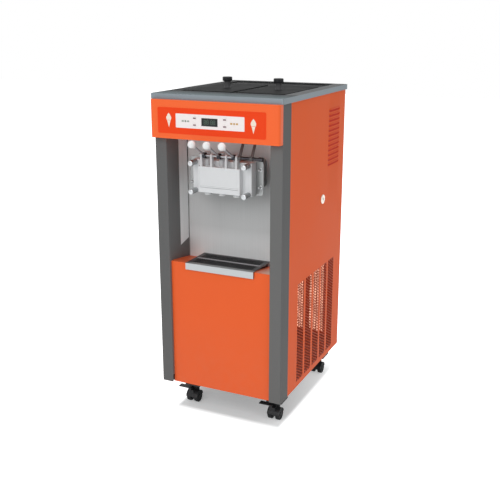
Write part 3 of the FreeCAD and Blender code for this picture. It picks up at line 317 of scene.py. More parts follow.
def softEdge(tree, given):
    # Rounds the look of a hard edge, and masks where a wide bevel's normal leaves the face's own.
    small, large = (out(addNode(tree, "Bevel", {"samples": 4}, Radius=given[key]))
                    for key in ("Radius", "Spread"))
    face = out(addNode(tree, "NewGeometry"), "True Normal")
    along = out(vectorNode(tree, "DOT_PRODUCT", large, i1=face), "Value")
    return {"Normal": small, "Mask": ramp(along, 0.995, 0.85)}


def mottle(tree, given):
    # Slow drift of tone and a fine grain, both about zero.
    place = objectPlace(tree)
    return {"Drift": noise(tree, place, given["Drift Scale"], 3.0) - 0.5,
            "Grain": noise(tree, place, given["Grain Scale"], 2.0) - 0.5}


def brushing(tree, given):
    # Fine lines along one direction, at two widths, for ground and brushed steel.
    place = objectPlace(tree)
    fine = out(vectorNode(tree, "MULTIPLY", place, i1=given["Across"]))
    coarse = out(vectorNode(tree, "SCALE", fine, Scale=0.21))
    line = noise(tree, fine, 1.0, 2.0) * 0.65 + noise(tree, coarse, 1.0, 1.0) * 0.35
    return {"Line": line - 0.5, "Cloud": noise(tree, place, 5.0, 3.0) - 0.5}


def dust(tree, given):
    # A patchy film that settles on upward faces and gathers towards the floor.
    low = (1.0 - coordinates(tree)[2] / given["Reach"]).clamped()
    upward = (facing(tree)[2] * 0.5).clamped()
    patches = noise(tree, objectPlace(tree), 28.0, 5.0)
    return {"Mask": (low.atLeast(upward) * patches * given["Amount"]).clamped()}


effects = {
    "softEdge": nodeGroup("softEdge", {"Radius": 0.0008, "Spread": 0.002}, softEdge),
    "mottle": nodeGroup("mottle", {"Drift Scale": 3.0, "Grain Scale": 900.0}, mottle),
    "brushing": nodeGroup("brushing", {"Across": (900.0, 900.0, 6.0)}, brushing),
    "dust": nodeGroup("dust", {"Reach": 0.25, "Amount": 0.3}, dust),
}


def useEffect(tree, name, **inputs):
    # A shared effect placed in a tree, with its outputs by name.
    node = addNode(tree, "Group", {"node_tree": effects[name]}, **inputs)
    return {socket.name: Flow(socket) for socket in node.outputs}


def newMaterial(name, **sockets):
    material = bpy.data.materials.new(name)
    material.use_nodes = True
    surface = material.node_tree.nodes["Principled BSDF"]
    for key, value in sockets.items():
        feed(surface.inputs[key.replace("_", " ")], value)
    return material, material.node_tree


def wired(material, colour, rough=None, height=None, depth=0.0, normal=None):
    # Gives a material its colour, its gloss and its relief.
    tree = material.node_tree
    if height:
        normal = out(addNode(tree, "Bump", Strength=1.0, Distance=depth, Height=height, Normal=normal))
    for key, value in (("Base Color", colour), ("Roughness", rough), ("Normal", normal)):
        if value:
            feed(tree.nodes["Principled BSDF"].inputs[key], value)
    return material


grille = {
    "height": 0.431,
    "strip": 0.070,
    "bridge": 0.020,
    "columns": 6,
    "rows": 33,
    "hole": 0.0054,
    "sheet": 0.0010,
}
louvre = {
    "pitch": 0.0205,
    "taper": 0.022,
    "steps": 6,
    # (height from the lip, outward) up one louvre: dished below the lip, hooded above it
    "profile": [(-0.0105, 0.0), (-0.0098, -0.0003), (-0.0070, -0.0018), (-0.0025, -0.0036), (0.0, -0.0040),
                (0.0003, 0.0034), (0.0008, 0.0042), (0.0018, 0.0043), (0.0035, 0.0036), (0.0058, 0.0019),
                (0.0076, 0.0006), (0.0088, 0.0)],
}
sideVents = {
    "bottom": 0.165,
    "stripsFrom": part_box("side_panel_right")[0].y + 0.096,
    "strips": 5,
    "louvreFrom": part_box("side_panel_right")[0].y + 0.412,
    "louvreLength": 0.143,
    "louvreBottom": 1.0325,
    "louvres": 12,
    "fold": 0.014,
}
rearVents = {
    "bottom": 0.185,
    "stripsFrom": -0.196,      # left edge of the first strip, seen from behind
    "strips": 4,
    "louvreFrom": -0.170,
    "louvreLength": 0.340,
    "louvreBottom": 1.012,
    "louvres": 8,
}
stripPitch = grille["strip"] + grille["bridge"]
rearStripsFrom = -rearVents["stripsFrom"] - rearVents["strips"] * stripPitch + grille["bridge"]
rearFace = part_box("rear_panel")[0].y + grille["sheet"]


def stripMask(tree, axis, start, vents):
    # 1 in the perforated strips of a panel whose first strip starts at a place along its axis.
    x, y, z = coordinates(tree)
    along = ({"X": x, "Y": y}[axis] - start) / stripPitch
    inside = along.fraction() < grille["strip"] / stripPitch
    among = abs(along - vents["strips"] / 2) < vents["strips"] / 2
    level = abs(z - (vents["bottom"] + grille["height"] / 2)) < grille["height"] / 2
    return inside * among * level


coats = {
    "paint": {"drift": 2.2, "grain": 420.0, "edge": (0.0009, 0.0022), "gain": 0.7, "contrast": 0.07,
              "reach": 0.5, "film": (0.42, 0.38, 0.34), "gloss": 0.18},
    "moulded": {"drift": 9.0, "grain": 1400.0, "edge": (0.0006, 0.0016), "gain": 1.0, "contrast": 0.08,
                "reach": 0.12, "film": (0.36, 0.34, 0.32), "gloss": 0.20},
}


def makeCoated(name, colour, roughness, coat, relief, worn, wornTone, dirt, sheen, change=None):
    # A slow drift of tone and a fine grain, rubbed through on the edges, with a little dust.
    material, tree = newMaterial(name, Specular_IOR_Level=sheen)
    skin = useEffect(tree, "mottle", Drift_Scale=coat["drift"], Grain_Scale=coat["grain"])
    edge = useEffect(tree, "softEdge", Radius=coat["edge"][0], Spread=coat["edge"][1])
    film = useEffect(tree, "dust", Reach=coat["reach"], Amount=dirt)["Mask"]
    base = mix(skin["Drift"] * coat["gain"] + 0.5, shade(colour, 1 - coat["contrast"]),
               shade(colour, 1 + coat["contrast"]))
    base = layered(base, (edge["Mask"] * worn, wornTone), (film, coat["film"]))
    if change:
        base = change(tree, base)
    rough = (skin["Drift"] * coat["gloss"] + roughness + film * 0.3).clamped()
    return wired(material, base, rough, skin["Grain"], relief, edge["Normal"])


def makePaint(name, colour, roughness, worn=0.25, sheen=0.22, change=None):
    # Powder coat, thinner and lighter on the edges.
    return makeCoated(name, colour, roughness, coats["paint"], 0.00001, worn,
                      tuple(0.8 * channel + 0.16 for channel in colour), 0.12, sheen, change)


def makeMoulded(name, colour, roughness, relief=0.00001, dirt=0.02, lighter=1.25, sheen=0.35, **changes):
    # Plastic and rubber with spark grain.
    return makeCoated(name, colour, roughness, dict(coats["moulded"], **changes), relief, 0.5,
                      shade(colour, lighter), dirt, sheen)


def vented(colour, axis, face, start, vents, depth=0.0012):
    # Paints shade into a coat on the louvres pressed out of the panel's face and over its perforated
    # strips.
    def change(tree, base):
        away = abs(coordinates(tree)["XYZ".index(axis)])
        louvreShade = ramp(away, face - 0.0001, face - depth) + ramp(away, face + 0.0002, face + depth, 0.3)
        red, green, blue = colour
        # Painted shade: a darker, redder tone on the louvres and a dark one over the strips.
        return layered(base, (louvreShade, (red * 0.78, green * 0.24, blue * 0.10)),
                       (stripMask(tree, "Y" if axis == "X" else "X", start, vents) * 0.62,
                        (red * 0.50, green * 0.25, blue * 0.12)))
    return change


def makeSteel(name, colour, roughness, across, line=0.10, metalOf=None, sheen=0.5):
    # Brushed stainless: the lines change tone, gloss and relief together. The colour may be a
    # function of the place that gives a tone for it.
    material, tree = newMaterial(name, Metallic=1.0, Specular_IOR_Level=sheen)
    if metalOf:
        feed(tree.nodes["Principled BSDF"].inputs["Metallic"], metalOf(*coordinates(tree)))
    lines = useEffect(tree, "brushing", Across=across)
    edge = useEffect(tree, "softEdge", Radius=0.0006, Spread=0.0018)
    if callable(colour):
        colour, gain, rubbed, bright, gloss = colour(*coordinates(tree)), 1.2, 0.25, (0.5, 0.5, 0.5), 0.20
    else:
        gain, rubbed, bright, gloss = 1.4, 0.35, shade(colour, 1.35), 0.22
    stripes = mix((lines["Line"] * gain + 0.5).clamped(), (1 - line,) * 3, (1 + line,) * 3)
    base = mix(edge["Mask"] * rubbed, mix(1.0, colour, stripes, "MULTIPLY"), bright)
    rough = (lines["Line"] * gloss + roughness + lines["Cloud"] * 0.16).clamped()
    return wired(material, base, rough, lines["Line"], 0.000004, edge["Normal"])


orange = (0.84, 0.119, 0.022)
finishes = {
    "orangePaint": makePaint("orangePaint", orange, 0.42),
    "sidePaint": makePaint("orangePaintSide", orange, 0.5, sheen=0.08,
                           change=vented(orange, "X", halfWidth, sideVents["stripsFrom"], sideVents)),
    "rearPaint": makePaint("orangePaintRear", orange, 0.5, sheen=0.08,
                           change=vented(orange, "Y", rearFace + 0.0005, rearStripsFrom, rearVents)),
    "headerPaint": makePaint("orangePaintHeader", (0.93, 0.140, 0.031), 0.42),
    "bayPaint": makePaint("orangePaintBay", orange, 0.42),
    "greyPaint": makePaint("greyPaint", (0.132, 0.132, 0.132), 0.5, worn=0.12, sheen=0.04),
    "motor": makePaint("motorPaint", (0.05, 0.052, 0.055), 0.4, worn=0.5),
    "flange": makeSteel("steelFlange", (0.27, 0.275, 0.275), 0.36, (900.0, 900.0, 5.0)),
    "level": makeSteel("steelBrushedLevel", (0.42, 0.44, 0.46), 0.30, (6.0, 900.0, 900.0)),
    "bright": makeSteel("steelBright", (0.44, 0.45, 0.46), 0.34, (300.0, 300.0, 300.0), line=0.04),
    "pin": makeSteel("steelPin", (0.30, 0.30, 0.31), 0.42, (300.0, 300.0, 300.0), line=0.06),
    "lockSteel": makeSteel("steelLock", (0.66, 0.62, 0.55), 0.3, (200.0, 200.0, 200.0), line=0.05),
    # Galvanised chassis painted near black: painted shade for the cabinet's dark inside.
    "shadedZinc": makeSteel("zincPlate", (0.05, 0.048, 0.048), 0.55, (60.0, 60.0, 60.0), line=0.16),
    "fins": makeSteel("aluminiumFins", (0.20, 0.20, 0.205), 0.45, (40.0, 40.0, 900.0), line=0.1),
    "headCast": makeMoulded("headCast", (0.68, 0.69, 0.70), 0.32, 0.000004, lighter=1.1),
    "plunger": makeMoulded("plungerWhite", (0.80, 0.80, 0.80), 0.3, 0.000002, lighter=1.0),
    "white": makeMoulded("knobWhite", (0.86, 0.86, 0.86), 0.22, 0.000002, lighter=1.0),
    # Black plastic's paler edges are wear, and on the knob caps a painted highlight along the top rim.
    "black": makeMoulded("plasticBlack", (0.016, 0.017, 0.019), 0.42, dirt=0.1, lighter=2.0, sheen=0.2),
    "dark": makeMoulded("bailCoat", (0.105, 0.098, 0.098), 0.45, sheen=0.2),
    "neck": makeMoulded("plasticGrey", (0.085, 0.085, 0.088), 0.5, sheen=0.1),
    "lid": makeMoulded("lidBlack", (0.005, 0.0055, 0.006), 0.6, 0.000006, lighter=1.2, sheen=0.02),
    "tread": makeMoulded("rubberBlack", (0.010, 0.012, 0.014), 0.6, dirt=0.1, lighter=1.6, sheen=0.15),
    "seal": makeMoulded("rubberSeal", (0.62, 0.61, 0.58), 0.55),
    "foam": makeMoulded("foamed", (0.72, 0.60, 0.36), 0.85, 0.0004, grain=160.0, dirt=0.05),
    "board": makeMoulded("circuitBoard", (0.02, 0.14, 0.06), 0.35),
}
print("plain finishes made:", len(finishes))


def maskBox(place, centre, half, radius):
    # 1 inside a rounded rectangle in two coordinates, with an edge a quarter of a millimetre wide.
    reach = [(abs(axis - middle) - (extent - radius)).atLeast(0.0)
             for axis, middle, extent in zip(place, centre, half)]
    distance = (reach[0].power(2.0) + reach[1].power(2.0)).squareRoot() - radius
    return ramp(distance, 0.000125, -0.000125)


label = {
    "film": (0.86, 0.052, 0.002),
    "strip": (0.90, 0.84, 0.83),
    "stripCentre": (-0.013, 1.2535),
    "stripHalf": (0.144, 0.0265),
    "corner": 0.003,
    "lampLevel": 1.253,
    "standby": -0.115,         # x of the grey lamp
    "run": 0.089,              # x of the amber lamp
    "digits": -0.013,
    "keyBar": (0.0060, 0.0024),
}


def labelColour(x, y, z, skin):
    # Printed film: red-orange with a pale strip behind the keys.
    strip = maskBox((x, z), label["stripCentre"], label["stripHalf"], label["corner"])
    film = mix(skin["Drift"] * 0.8 + 0.5, shade(label["film"], 0.96), shade(label["film"], 1.04))
    return mix(strip, film, label["strip"])


def displayColour(x, y, z, skin):
    # Smoked window with a faint grid of the module behind it, a grey lamp left and an amber one right.
    lit = maskBox((x, z), (label["digits"], label["lampLevel"]), (0.026, 0.0085), 0.001) * 0.15
    lamps = [(maskBox((x, z), (label[lamp], label["lampLevel"]), (0.006, 0.006), 0.001), tone)
             for lamp, tone in (("standby", (0.26, 0.30, 0.26)), ("run", (0.52, 0.31, 0.10)))]
    return layered(mix(lit, (0.008, 0.011, 0.010), (0.035, 0.060, 0.045)), *lamps)


def keyColour(x, y, z, skin):
    # Pale domed keys, each with a short dark bar across it.
    middles = [sum(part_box("control_key_%d" % key), Vector()) / 2 for key in (1, 2, 3, 4)]
    bars = [(maskBox((x, z), (middle.x, middle.z), label["keyBar"], 0.0008), (0.16, 0.07, 0.08))
            for middle in middles]
    return layered(mix(skin["Drift"] + 0.5, shade(label["strip"], 0.95), label["strip"]), *bars)


def filterLightTint(x, y, z, skin):
    # Orange weave in bands as tall as the rows of holes, painting the colour and rows of the light seen
    # through them.
    turns = z * (2 * math.pi * grille["rows"] / grille["height"])
    band = (turns.sine() * 0.5 + 0.5 + skin["Grain"] * 0.4).clamped()
    return mix(band, (0.76, 0.33, 0.21), (0.97, 0.60, 0.43))


def makeFilm(name, colourOf, drift, grain, roughness, gloss, relief=None, edged=True, **sockets):
    # A thin sheet whose tone is worked out from the place and the mottle.
    material, tree = newMaterial(name, Roughness=roughness, **sockets)
    skin = useEffect(tree, "mottle", Drift_Scale=drift, Grain_Scale=grain)
    normal = useEffect(tree, "softEdge", Radius=0.0004, Spread=0.001)["Normal"] if edged else None
    rough = skin["Drift"] * gloss + roughness if gloss else None
    base = colourOf(*coordinates(tree), skin)
    return wired(material, base, rough, relief and skin["Grain"], relief, normal)


def makeInk(name, colour):
    material, tree = newMaterial(name)
    skin = useEffect(tree, "mottle", Drift_Scale=80.0, Grain_Scale=3000.0)
    base = mix(skin["Drift"] + 0.5, shade(colour, 0.9), shade(colour, 1.1))
    return wired(material, base, skin["Grain"] * 0.2 + 0.45)


def tint(finish, maskOf, tone):
    # Lays a tone over a finish where maskOf(x, y, z) is 1.
    tree = finishes[finish].node_tree
    socket = tree.nodes["Principled BSDF"].inputs["Base Color"]
    feed(socket, mix(maskOf(*coordinates(tree)), Flow(socket.links[0].from_socket), tone))


# Tones of painted light and shade on the steel deck, and where they lie.
deckTones = {
    "fieldRear": (0.005, 0.0055, 0.006),
    "fieldFore": (0.032, 0.0325, 0.033),
    "right": (0.115, 0.120, 0.122),
    "rear": (0.006, 0.007, 0.008),
    "frontInner": (0.034, 0.040, 0.042),
    "frontOuter": (0.125, 0.160, 0.172),
    "skirt": (0.185, 0.215, 0.235),
    "rim": 0.002,
    "fieldHalf": 0.224,
    "fieldFront": -0.18175,
    "fieldBack": 0.34725,
    "frontFade": 0.12,               # depth of the painted highlight on the front edge
    "fieldFade": (0.24, -0.17),      # from the painted shade at the rear to the paler fore tone
}


def deckSkirt(x, y, z):
    # 1 round the rim, where the deck's surface doesn't face up.
    low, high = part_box("top_deck")
    inner = (high.x - deckTones["rim"], (high.y - low.y) / 2 - deckTones["rim"])
    within = maskBox((x, y), (0.0, (low.y + high.y) / 2), inner, 0.0002)
    return (facing(x.tree)[2] < 0.5) * (1.0 - within)


def deckPaintedLight(x, y, z):
    # Painted shade in the recess and rear rim, painted light on the front edge and right rim; grey skirt.
    tones, start, stop = deckTones, deckTones["fieldFront"], deckTones["fieldBack"]
    near = mix(ramp(y, start, start - tones["frontFade"]), tones["frontInner"], tones["frontOuter"])
    rear = mix(x > tones["fieldHalf"], tones["rear"], tones["right"])
    inside = maskBox((x, y), (0.0, (start + stop) / 2), (tones["fieldHalf"], (stop - start) / 2), 0.004)
    field = mix(ramp(y, *tones["fieldFade"]), tones["fieldRear"], tones["fieldFore"])
    return layered(near, (y > start, rear), (inside, field), (deckSkirt(x, y, z), tones["skirt"]))


# Tones of painted light on the grey posts.
posts = {
    "fronts": (0.160, 0.160, 0.158),
    "returns": (0.185, 0.187, 0.187),
    "lightRamp": (-0.32, 0.25),
    "inner": 0.262,
}


def postFrontsPaintedLight(x, y, z):
    # The posts' front faces, painted paler towards the right one: painted light.
    return (x < halfWidth - 0.0005) * ramp(x, *posts["lightRamp"])


def postReturnsPaintedLight(x, y, z):
    # The posts' faces towards the bay, painted paler: painted light lifting their shade.
    return (abs(x) < posts["inner"]) * (abs(facing(x.tree)[0]) > 0.7)


# Tones of painted light and shade on the steel splash panel, and where they lie.
splash = {
    "cheek": 0.2188,
    "cheekBack": front + 0.160,
    "upper": (1.00, 1.12),
    "lowerFade": (1.02, 0.76),
    "footFade": (0.80, 0.66),
    "leftFade": (-0.08, -0.21, 0.28),
    "besideFades": ((0.155, 0.165), (0.97, 1.02), (1.17, 1.14)),     # across, then up from both ends
    "metallic": (0.12, 0.43),  # everywhere, and what the glossy parts add
    "footShadowRise": 0.700,         # top of the painted shadow at the left cheek's foot, at its front edge
    "footShadowSlant": 0.040,
    "middle": (0.37, 0.375, 0.375),
    "lower": (0.50, 0.505, 0.505),
    "foot": (0.82, 0.825, 0.825),
    "top": (0.66, 0.665, 0.665),
    "beside": (0.98, 0.98, 0.98),
    "cheeks": (0.90, 0.905, 0.905),
    "footShadow": (0.17, 0.17, 0.17),
    "cornerShade": (0.30, 0.30, 0.30),
    "cornerShadeTop": (0.05, 0.05, 0.055),
}


def splashMasks(x, y, z):
    # The left and right cheeks, the part above the outlets, and the part beside the housing, where painted
    # light goes.
    across, low, high = splash["besideFades"]
    beside = ramp(x, *across) * (ramp(z, *low) * ramp(z, *high))
    return abs(x) > splash["cheek"], ramp(z, *splash["upper"]), beside


def splashMetal(x, y, z):
    # Glossier on the cheeks and above the outlets.
    cheeks, upper, beside = splashMasks(x, y, z)
    least, more = splash["metallic"]
    return cheeks.atLeast(upper) * (1.0 - beside) * more + least


def splashColour(x, y, z):
    # Painted light: paler towards the tray and left, on the cheeks, above the outlets and beside the
    # housing.
    # Painted shade: dark corners beside the back, and a shadow at the foot of the left cheek.
    cheeks, upper, beside = splashMasks(x, y, z)
    rise = ramp(y, front, splash["cheekBack"], splash["footShadowSlant"])
    foot = (z < rise + splash["footShadowRise"]) * (x < -splash["cheek"])
    cornerShade = mix(upper, splash["cornerShade"], splash["cornerShadeTop"])
    return layered(mix(ramp(z, *splash["lowerFade"]), splash["middle"], splash["lower"]),
                   (ramp(z, *splash["footFade"]), splash["foot"]),
                   (ramp(x, *splash["leftFade"]), splash["foot"]),
                   (upper, splash["top"]), (beside, splash["beside"]), (cheeks, splash["cheeks"]),
                   (foot, splash["footShadow"]), (cheeks * (y > splash["cheekBack"]), cornerShade))


def trayColour(x, y, z):
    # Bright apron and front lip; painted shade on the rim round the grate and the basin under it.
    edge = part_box("drip_tray")[1]
    below = (abs(x) > edge.x - 0.0015) * (z < edge.z - 0.0015)
    inside = ((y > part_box("tray_grate")[0].y - 0.002) - below).clamped()
    return mix(inside, (0.335, 0.350, 0.355), (0.050, 0.050, 0.054))


def grateColour(x, y, z):
    # Slotted plate painted dark for the shade in its slots, with a bright bridge across its middle.
    low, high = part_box("tray_grate")
    away = abs(y - (low.y + high.y) / 2)
    return mix(away < 0.006, (0.075, 0.073, 0.076), (0.42, 0.40, 0.42))


pivot = {"y": front + 0.018, "z": 1.120, "hub": 0.013}


def leverColour(x, y, z):
    # Dark hub, bright rod.
    y, z = y - pivot["y"], z - pivot["z"]
    away = (y * y + z * z).squareRoot()
    return mix(away < pivot["hub"], (0.50, 0.50, 0.52), (0.030, 0.030, 0.036))


head = {"top": 1.0772, "castBefore": front + 0.036, "plungersBefore": front + 0.090, "pinEnd": 0.090}

# Painted light on the posts: fronts paler towards the right, faces in the bay paler.
tint("greyPaint", postFrontsPaintedLight, posts["fronts"])
tint("greyPaint", postReturnsPaintedLight, posts["returns"])
# Painted light: the lids paler towards the front.
tint("lid", lambda x, y, z: ramp(y, *deckTones["fieldFade"]), deckTones["fieldFore"])
# Painted highlight: the bay floor paler towards the right.
tint("bayPaint", lambda x, y, z: ramp(x, 0.150, 0.200), (1.0, 0.58, 0.44))
tint("pin", lambda x, y, z: ramp(x, head["pinEnd"], head["pinEnd"] + 0.002), (0.045, 0.045, 0.050))
for finish, level, before, tone in (
        ("level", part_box("hopper_lid_left")[0].z - 0.002, 1.0, (0.03, 0.03, 0.03)),
        ("headCast", head["top"], head["castBefore"], (0.60, 0.60, 0.61)),
        ("plunger", head["top"], head["plungersBefore"], (0.50, 0.50, 0.51))):
    tint(finish, lambda x, y, z: ramp(z, level, level + 0.001) * (y < before), tone)
finishes.update({
    "label": makeFilm("labelFilm", labelColour, 6.0, 1800.0, 0.36, 0.12, 0.000002, Specular_IOR_Level=0.2),
    "display": makeFilm("displayFilm", displayColour, 30.0, 2600.0, 0.22, 0.1, Specular_IOR_Level=0.3),
    "key": makeFilm("keyFilm", keyColour, 40.0, 2600.0, 0.4, 0.0, 0.000002, Specular_IOR_Level=0.3),
    "filter": makeFilm("filterSheet", filterLightTint, 40.0, 900.0, 0.18, 0.1, edged=False,
                       Transmission_Weight=1.0, IOR=1.02, Specular_IOR_Level=0.1),
    "deck": makeSteel("steelDeck", deckPaintedLight, 0.5, (5.0, 700.0, 700.0), metalOf=deckSkirt, sheen=0.03),
    "splash": makeSteel("steelSplash", splashColour, 0.5, (900.0, 900.0, 5.0), metalOf=splashMetal,
                        sheen=0.3),
    "tray": makeSteel("steelTray", trayColour, 0.32, (6.0, 900.0, 900.0)),
    "grate": makeSteel("steelGrate", grateColour, 0.4, (6.0, 900.0, 900.0)),
    "lever": makeSteel("steelLever", leverColour, 0.3, (300.0, 300.0, 300.0)),
})
for name, colour in (("inkWhite", (0.88, 0.76, 0.64)), ("inkGrey", (0.30, 0.35, 0.30)),
                     ("inkAmber", (0.52, 0.30, 0.08)), ("segment", (0.05, 0.09, 0.06))):
    finishes[name] = makeInk(name, colour)

# The nodes that wear each finish, by name or by its start.
nodeFinish = {
    "shadedZinc": "chassis fan_shroud",
    "greyPaint": "front_posts",
    "orangePaint": "front_panel",
    "headerPaint": "header_cover",
    "bayPaint": "bay_floor",
    "sidePaint": "side_panel_*",
    "rearPaint": "rear_panel",
    "flange": "head_flange",
    "splash": "splash_panel",
    "deck": "top_deck",
    "level": "hoppers",
    "tray": "drip_tray",
    "grate": "tray_grate",
    "lever": "draw_lever_*",
    "dark": "switch_bail",
    "pin": "pivot_pin",
    "bright": "handscrews freezing_cylinders beater_* side_lock",
    "headCast": "dispensing_block",
    "white": "lever_ball_* star_nozzles",
    "plunger": "valve_plunger_*",
    "black": "cord_gland control_box condenser_fan castor_fork_* brake_pedal_*",
    "lid": "hopper_lid_*",
    "tread": "castor_wheels_*",
    "seal": "head_seals",
    "foam": "cylinder_jacket",
    "board": "control_board",
    "fins": "condenser",
    "motor": "gear_motors compressor",
    "label": "control_fascia",
    "display": "display_lenses",
    "key": "control_key_*",
}
for finish, patterns in nodeFinish.items():
    for pattern in patterns.split():
        for node in fnmatch.filter(frame["nodes"], pattern):
            mesh = frame["nodes"][node].data
            mesh.materials.clear()
            mesh.materials.append(finishes[finish])
print("nodes dressed")


def quadRows(uBreaks, vBreaks):
    # Every cell between two lists of breaks, as a flat grid.
    u, v = np.meshgrid(uBreaks, vBreaks, indexing="ij")
    return gridPart(np.stack([u, v, np.zeros_like(u)], axis=2))


def holeCells(start, bottom, width, height, rows):
    # A column of cells, each with a twelve-sided hole; cell rims meet their neighbours' points.
    turn = np.radians(np.arange(12) * 30)
    rim = np.stack([np.array([1, 1, 0.5, 0, -0.5, -1, -1, -1, -0.5, 0, 0.5, 1]) * width / 2,
                    np.array([0, 1, 1, 1, 1, 1, 0, -1, -1, -1, -1, -1]) * height / 2])
    hole = grille["hole"] * np.stack([np.cos(turn), np.sin(turn)])
    rings = np.zeros((rows, 24, 3))
    rings[:, :, :2] = np.concatenate([rim, hole], axis=1).T + [start + width / 2, 0]
    rings[:, :, 1] += (bottom + height * (np.arange(rows) + 0.5))[:, None]
    index = np.arange(12)
    after = np.roll(index, -1)
    ring = np.stack([index, after, after + 12, index + 12], axis=1)
    faces = (ring[None] + 24 * np.arange(rows)[:, None, None]).reshape(-1, 4)
    return rings.reshape(-1, 3), [faces]


def perforatedStrip(start, bottom):
    # Columns of holes, every second one lower by half a pitch, with plain half cells at its ends.
    width = grille["strip"] / grille["columns"]
    height = grille["height"] / grille["rows"]
    parts = []
    for column in range(grille["columns"]):
        left = start + column * width
        quarters = left + width * np.arange(5) / 4
        if column % 2 == 0:
            parts.append(holeCells(left, bottom, width, height, grille["rows"]))
            continue
        parts.append(holeCells(left, bottom + height / 2, width, height, grille["rows"] - 1))
        for low in (bottom, bottom + grille["height"] - height / 2):
            parts.append(quadRows(quarters, [low, low + height / 2]))
    return parts


def fineBreaks(start):
    # Where a strip's upper and lower edges have points.
    return start + grille["strip"] * np.arange(4 * grille["columns"] + 1) / (4 * grille["columns"])


def wideFace(lower, upper, low, high):
    # One flat face between two levels whose edges have different points.
    edge = [(u, low, 0) for u in lower] + [(u, high, 0) for u in reversed(list(upper))]
    return np.array(edge, float), [np.arange(len(edge))[None]]


def louvredField(uRange, vRange, slots):
    # Plain sheet with pressed louvres: the profile up one louvre, faded in and out along its length.
    start, length, levels = slots
    rise = np.linspace(0, 1, louvre["steps"] + 1)
    inner = np.concatenate([start + louvre["taper"] * rise, start + length - louvre["taper"] * rise[::-1]])
    guard = [start - 0.0004, start + length + 0.0004]
    uBreaks = np.concatenate([[uRange[0], guard[0]], inner, [guard[1], uRange[1]]])
    fade = np.zeros(len(uBreaks))
    fade[2:-2] = np.concatenate([np.sin(rise * np.pi / 2), np.sin(rise * np.pi / 2)[::-1]])
    profile = np.array(louvre["profile"])
    parts = []
    below = vRange[0]
    for level in levels:
        parts.append(quadRows(uBreaks, [below, level + profile[0, 0]]))
        u, v = np.meshgrid(uBreaks, level + profile[:, 0], indexing="ij")
        parts.append(gridPart(np.stack([u, v, fade[:, None] * profile[None, :, 1]], axis=2)))
        below = level + profile[-1, 0]
    parts.append(quadRows(uBreaks, [below, vRange[1]]))
    return parts, uBreaks


def ventedSheet(uRange, vRange, bottom, stripStarts, slots):
    # Sheet with perforated strips low down and louvres above, in (u, v, outward) coordinates.
    high = bottom + grille["height"]
    halfRows = bottom + grille["height"] * np.arange(2 * grille["rows"] + 1) / (2 * grille["rows"])
    parts = []
    edges = [uRange[0]]
    fine = [uRange[0]]
    for start in stripStarts:
        parts += perforatedStrip(start, bottom)
        edges += [start, start + grille["strip"]]
        fine += list(fineBreaks(start))
    edges.append(uRange[1])
    fine.append(uRange[1])
    for left, right in zip(edges[0::2], edges[1::2]):
        parts.append(quadRows([left, right], halfRows))
    middle = (high + slots[2][0]) / 2
    field, uBreaks = louvredField(uRange, (middle, vRange[1]), slots)
    parts.append(wideFace([uRange[0], uRange[1]], fine, vRange[0], bottom))
    parts.append(wideFace(fine, uBreaks, high, middle))
    return thickened(joined(parts + field), [0, 0, -grille["sheet"]])


def ventsOf(node, vents, axis):
    # A panel's sheet, with one of the node's axes running along it.
    low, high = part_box(node)
    starts = [vents["stripsFrom"] + stripPitch * index for index in range(vents["strips"])]
    levels = vents["louvreBottom"] + louvre["pitch"] * np.arange(vents["louvres"])
    return ventedSheet((low[axis], high[axis]), (low.z, high.z), vents["bottom"], starts,
                       (vents["louvreFrom"], vents["louvreLength"], levels))


def buildPanels():
    sheet, fold, inner = grille["sheet"], -sideVents["fold"], -grille["sheet"] - 0.0001
    for side, node in ((1, "side_panel_right"), (-1, "side_panel_left")):
        low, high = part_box(node)
        folds = [roundedBox((low.y, low.z, fold), (low.y + sheet, high.z, inner), 0.0004),
                 roundedBox((low.y + 0.002, low.z, fold), (high.y - 0.002, low.z + sheet, inner), 0.0004)]
        panel = mapped(joined([ventsOf(node, sideVents, 1)] + folds), (0, 1, 0), (0, 0, 1), (side, 0, 0),
                       (side * halfWidth, 0, 0))
        addPiece("ventedPanel" + ("Right" if side > 0 else "Left"), panel, "sidePaint", "cabinet",
                 [node])
    panel = mapped(ventsOf("rear_panel", rearVents, 0), (-1, 0, 0), (0, 0, 1), (0, 1, 0), (0, rearFace, 0))
    addPiece("ventedPanelRear", panel, "rearPaint", "cabinet", ["rear_panel"])


screen = {
    "gap": 0.0004,
    "thickness": 0.0006,
    "margin": 0.004,
    "frame": 0.006,
}


def buildDustScreen():
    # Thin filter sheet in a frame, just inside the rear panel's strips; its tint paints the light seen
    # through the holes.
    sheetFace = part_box("rear_panel")[0].y - screen["gap"]
    right = -rearVents["stripsFrom"] + screen["margin"]
    left = right - rearVents["strips"] * stripPitch + grille["bridge"] - 2 * screen["margin"]
    low = rearVents["bottom"] - screen["margin"]
    high = rearVents["bottom"] + grille["height"] + screen["margin"]
    sheet = roundedBox((left, sheetFace - screen["thickness"], low), (right, sheetFace, high), 0.0001)
    addPiece("dustScreen", sheet, "filter", "cabinet")
    edge, deep = screen["frame"], sheetFace - 2 * screen["thickness"]
    bars = [((left - edge, low - edge), (left, high + edge)),
            ((right, low - edge), (right + edge, high + edge)),
            ((left, low - edge), (right, low)), ((left, high), (right, high + edge))]
    frameParts = [roundedBox((x0, deep, z0), (x1, sheetFace, z1), 0.0003) for (x0, z0), (x1, z1) in bars]
    addPiece("dustScreenFrame", joined(frameParts), "rearPaint", "cabinet")


buildPanels()
buildDustScreen()
print("vented panels built")


knob = {
    "radius": 0.0150,
    "neckRadius": 0.0070,
    "neckLength": 0.009,
}


def alongLever(part, centre):
    # Turns a part from +Z to the lever's direction and sets it at the ball's middle.
    hub = Vector((centre.x, pivot["y"], pivot["z"]))
    run = np.array((centre - hub).normalized())
    side = np.array([1.0, 0, 0])
    return mapped(part, side, np.cross(run, side), run, centre)


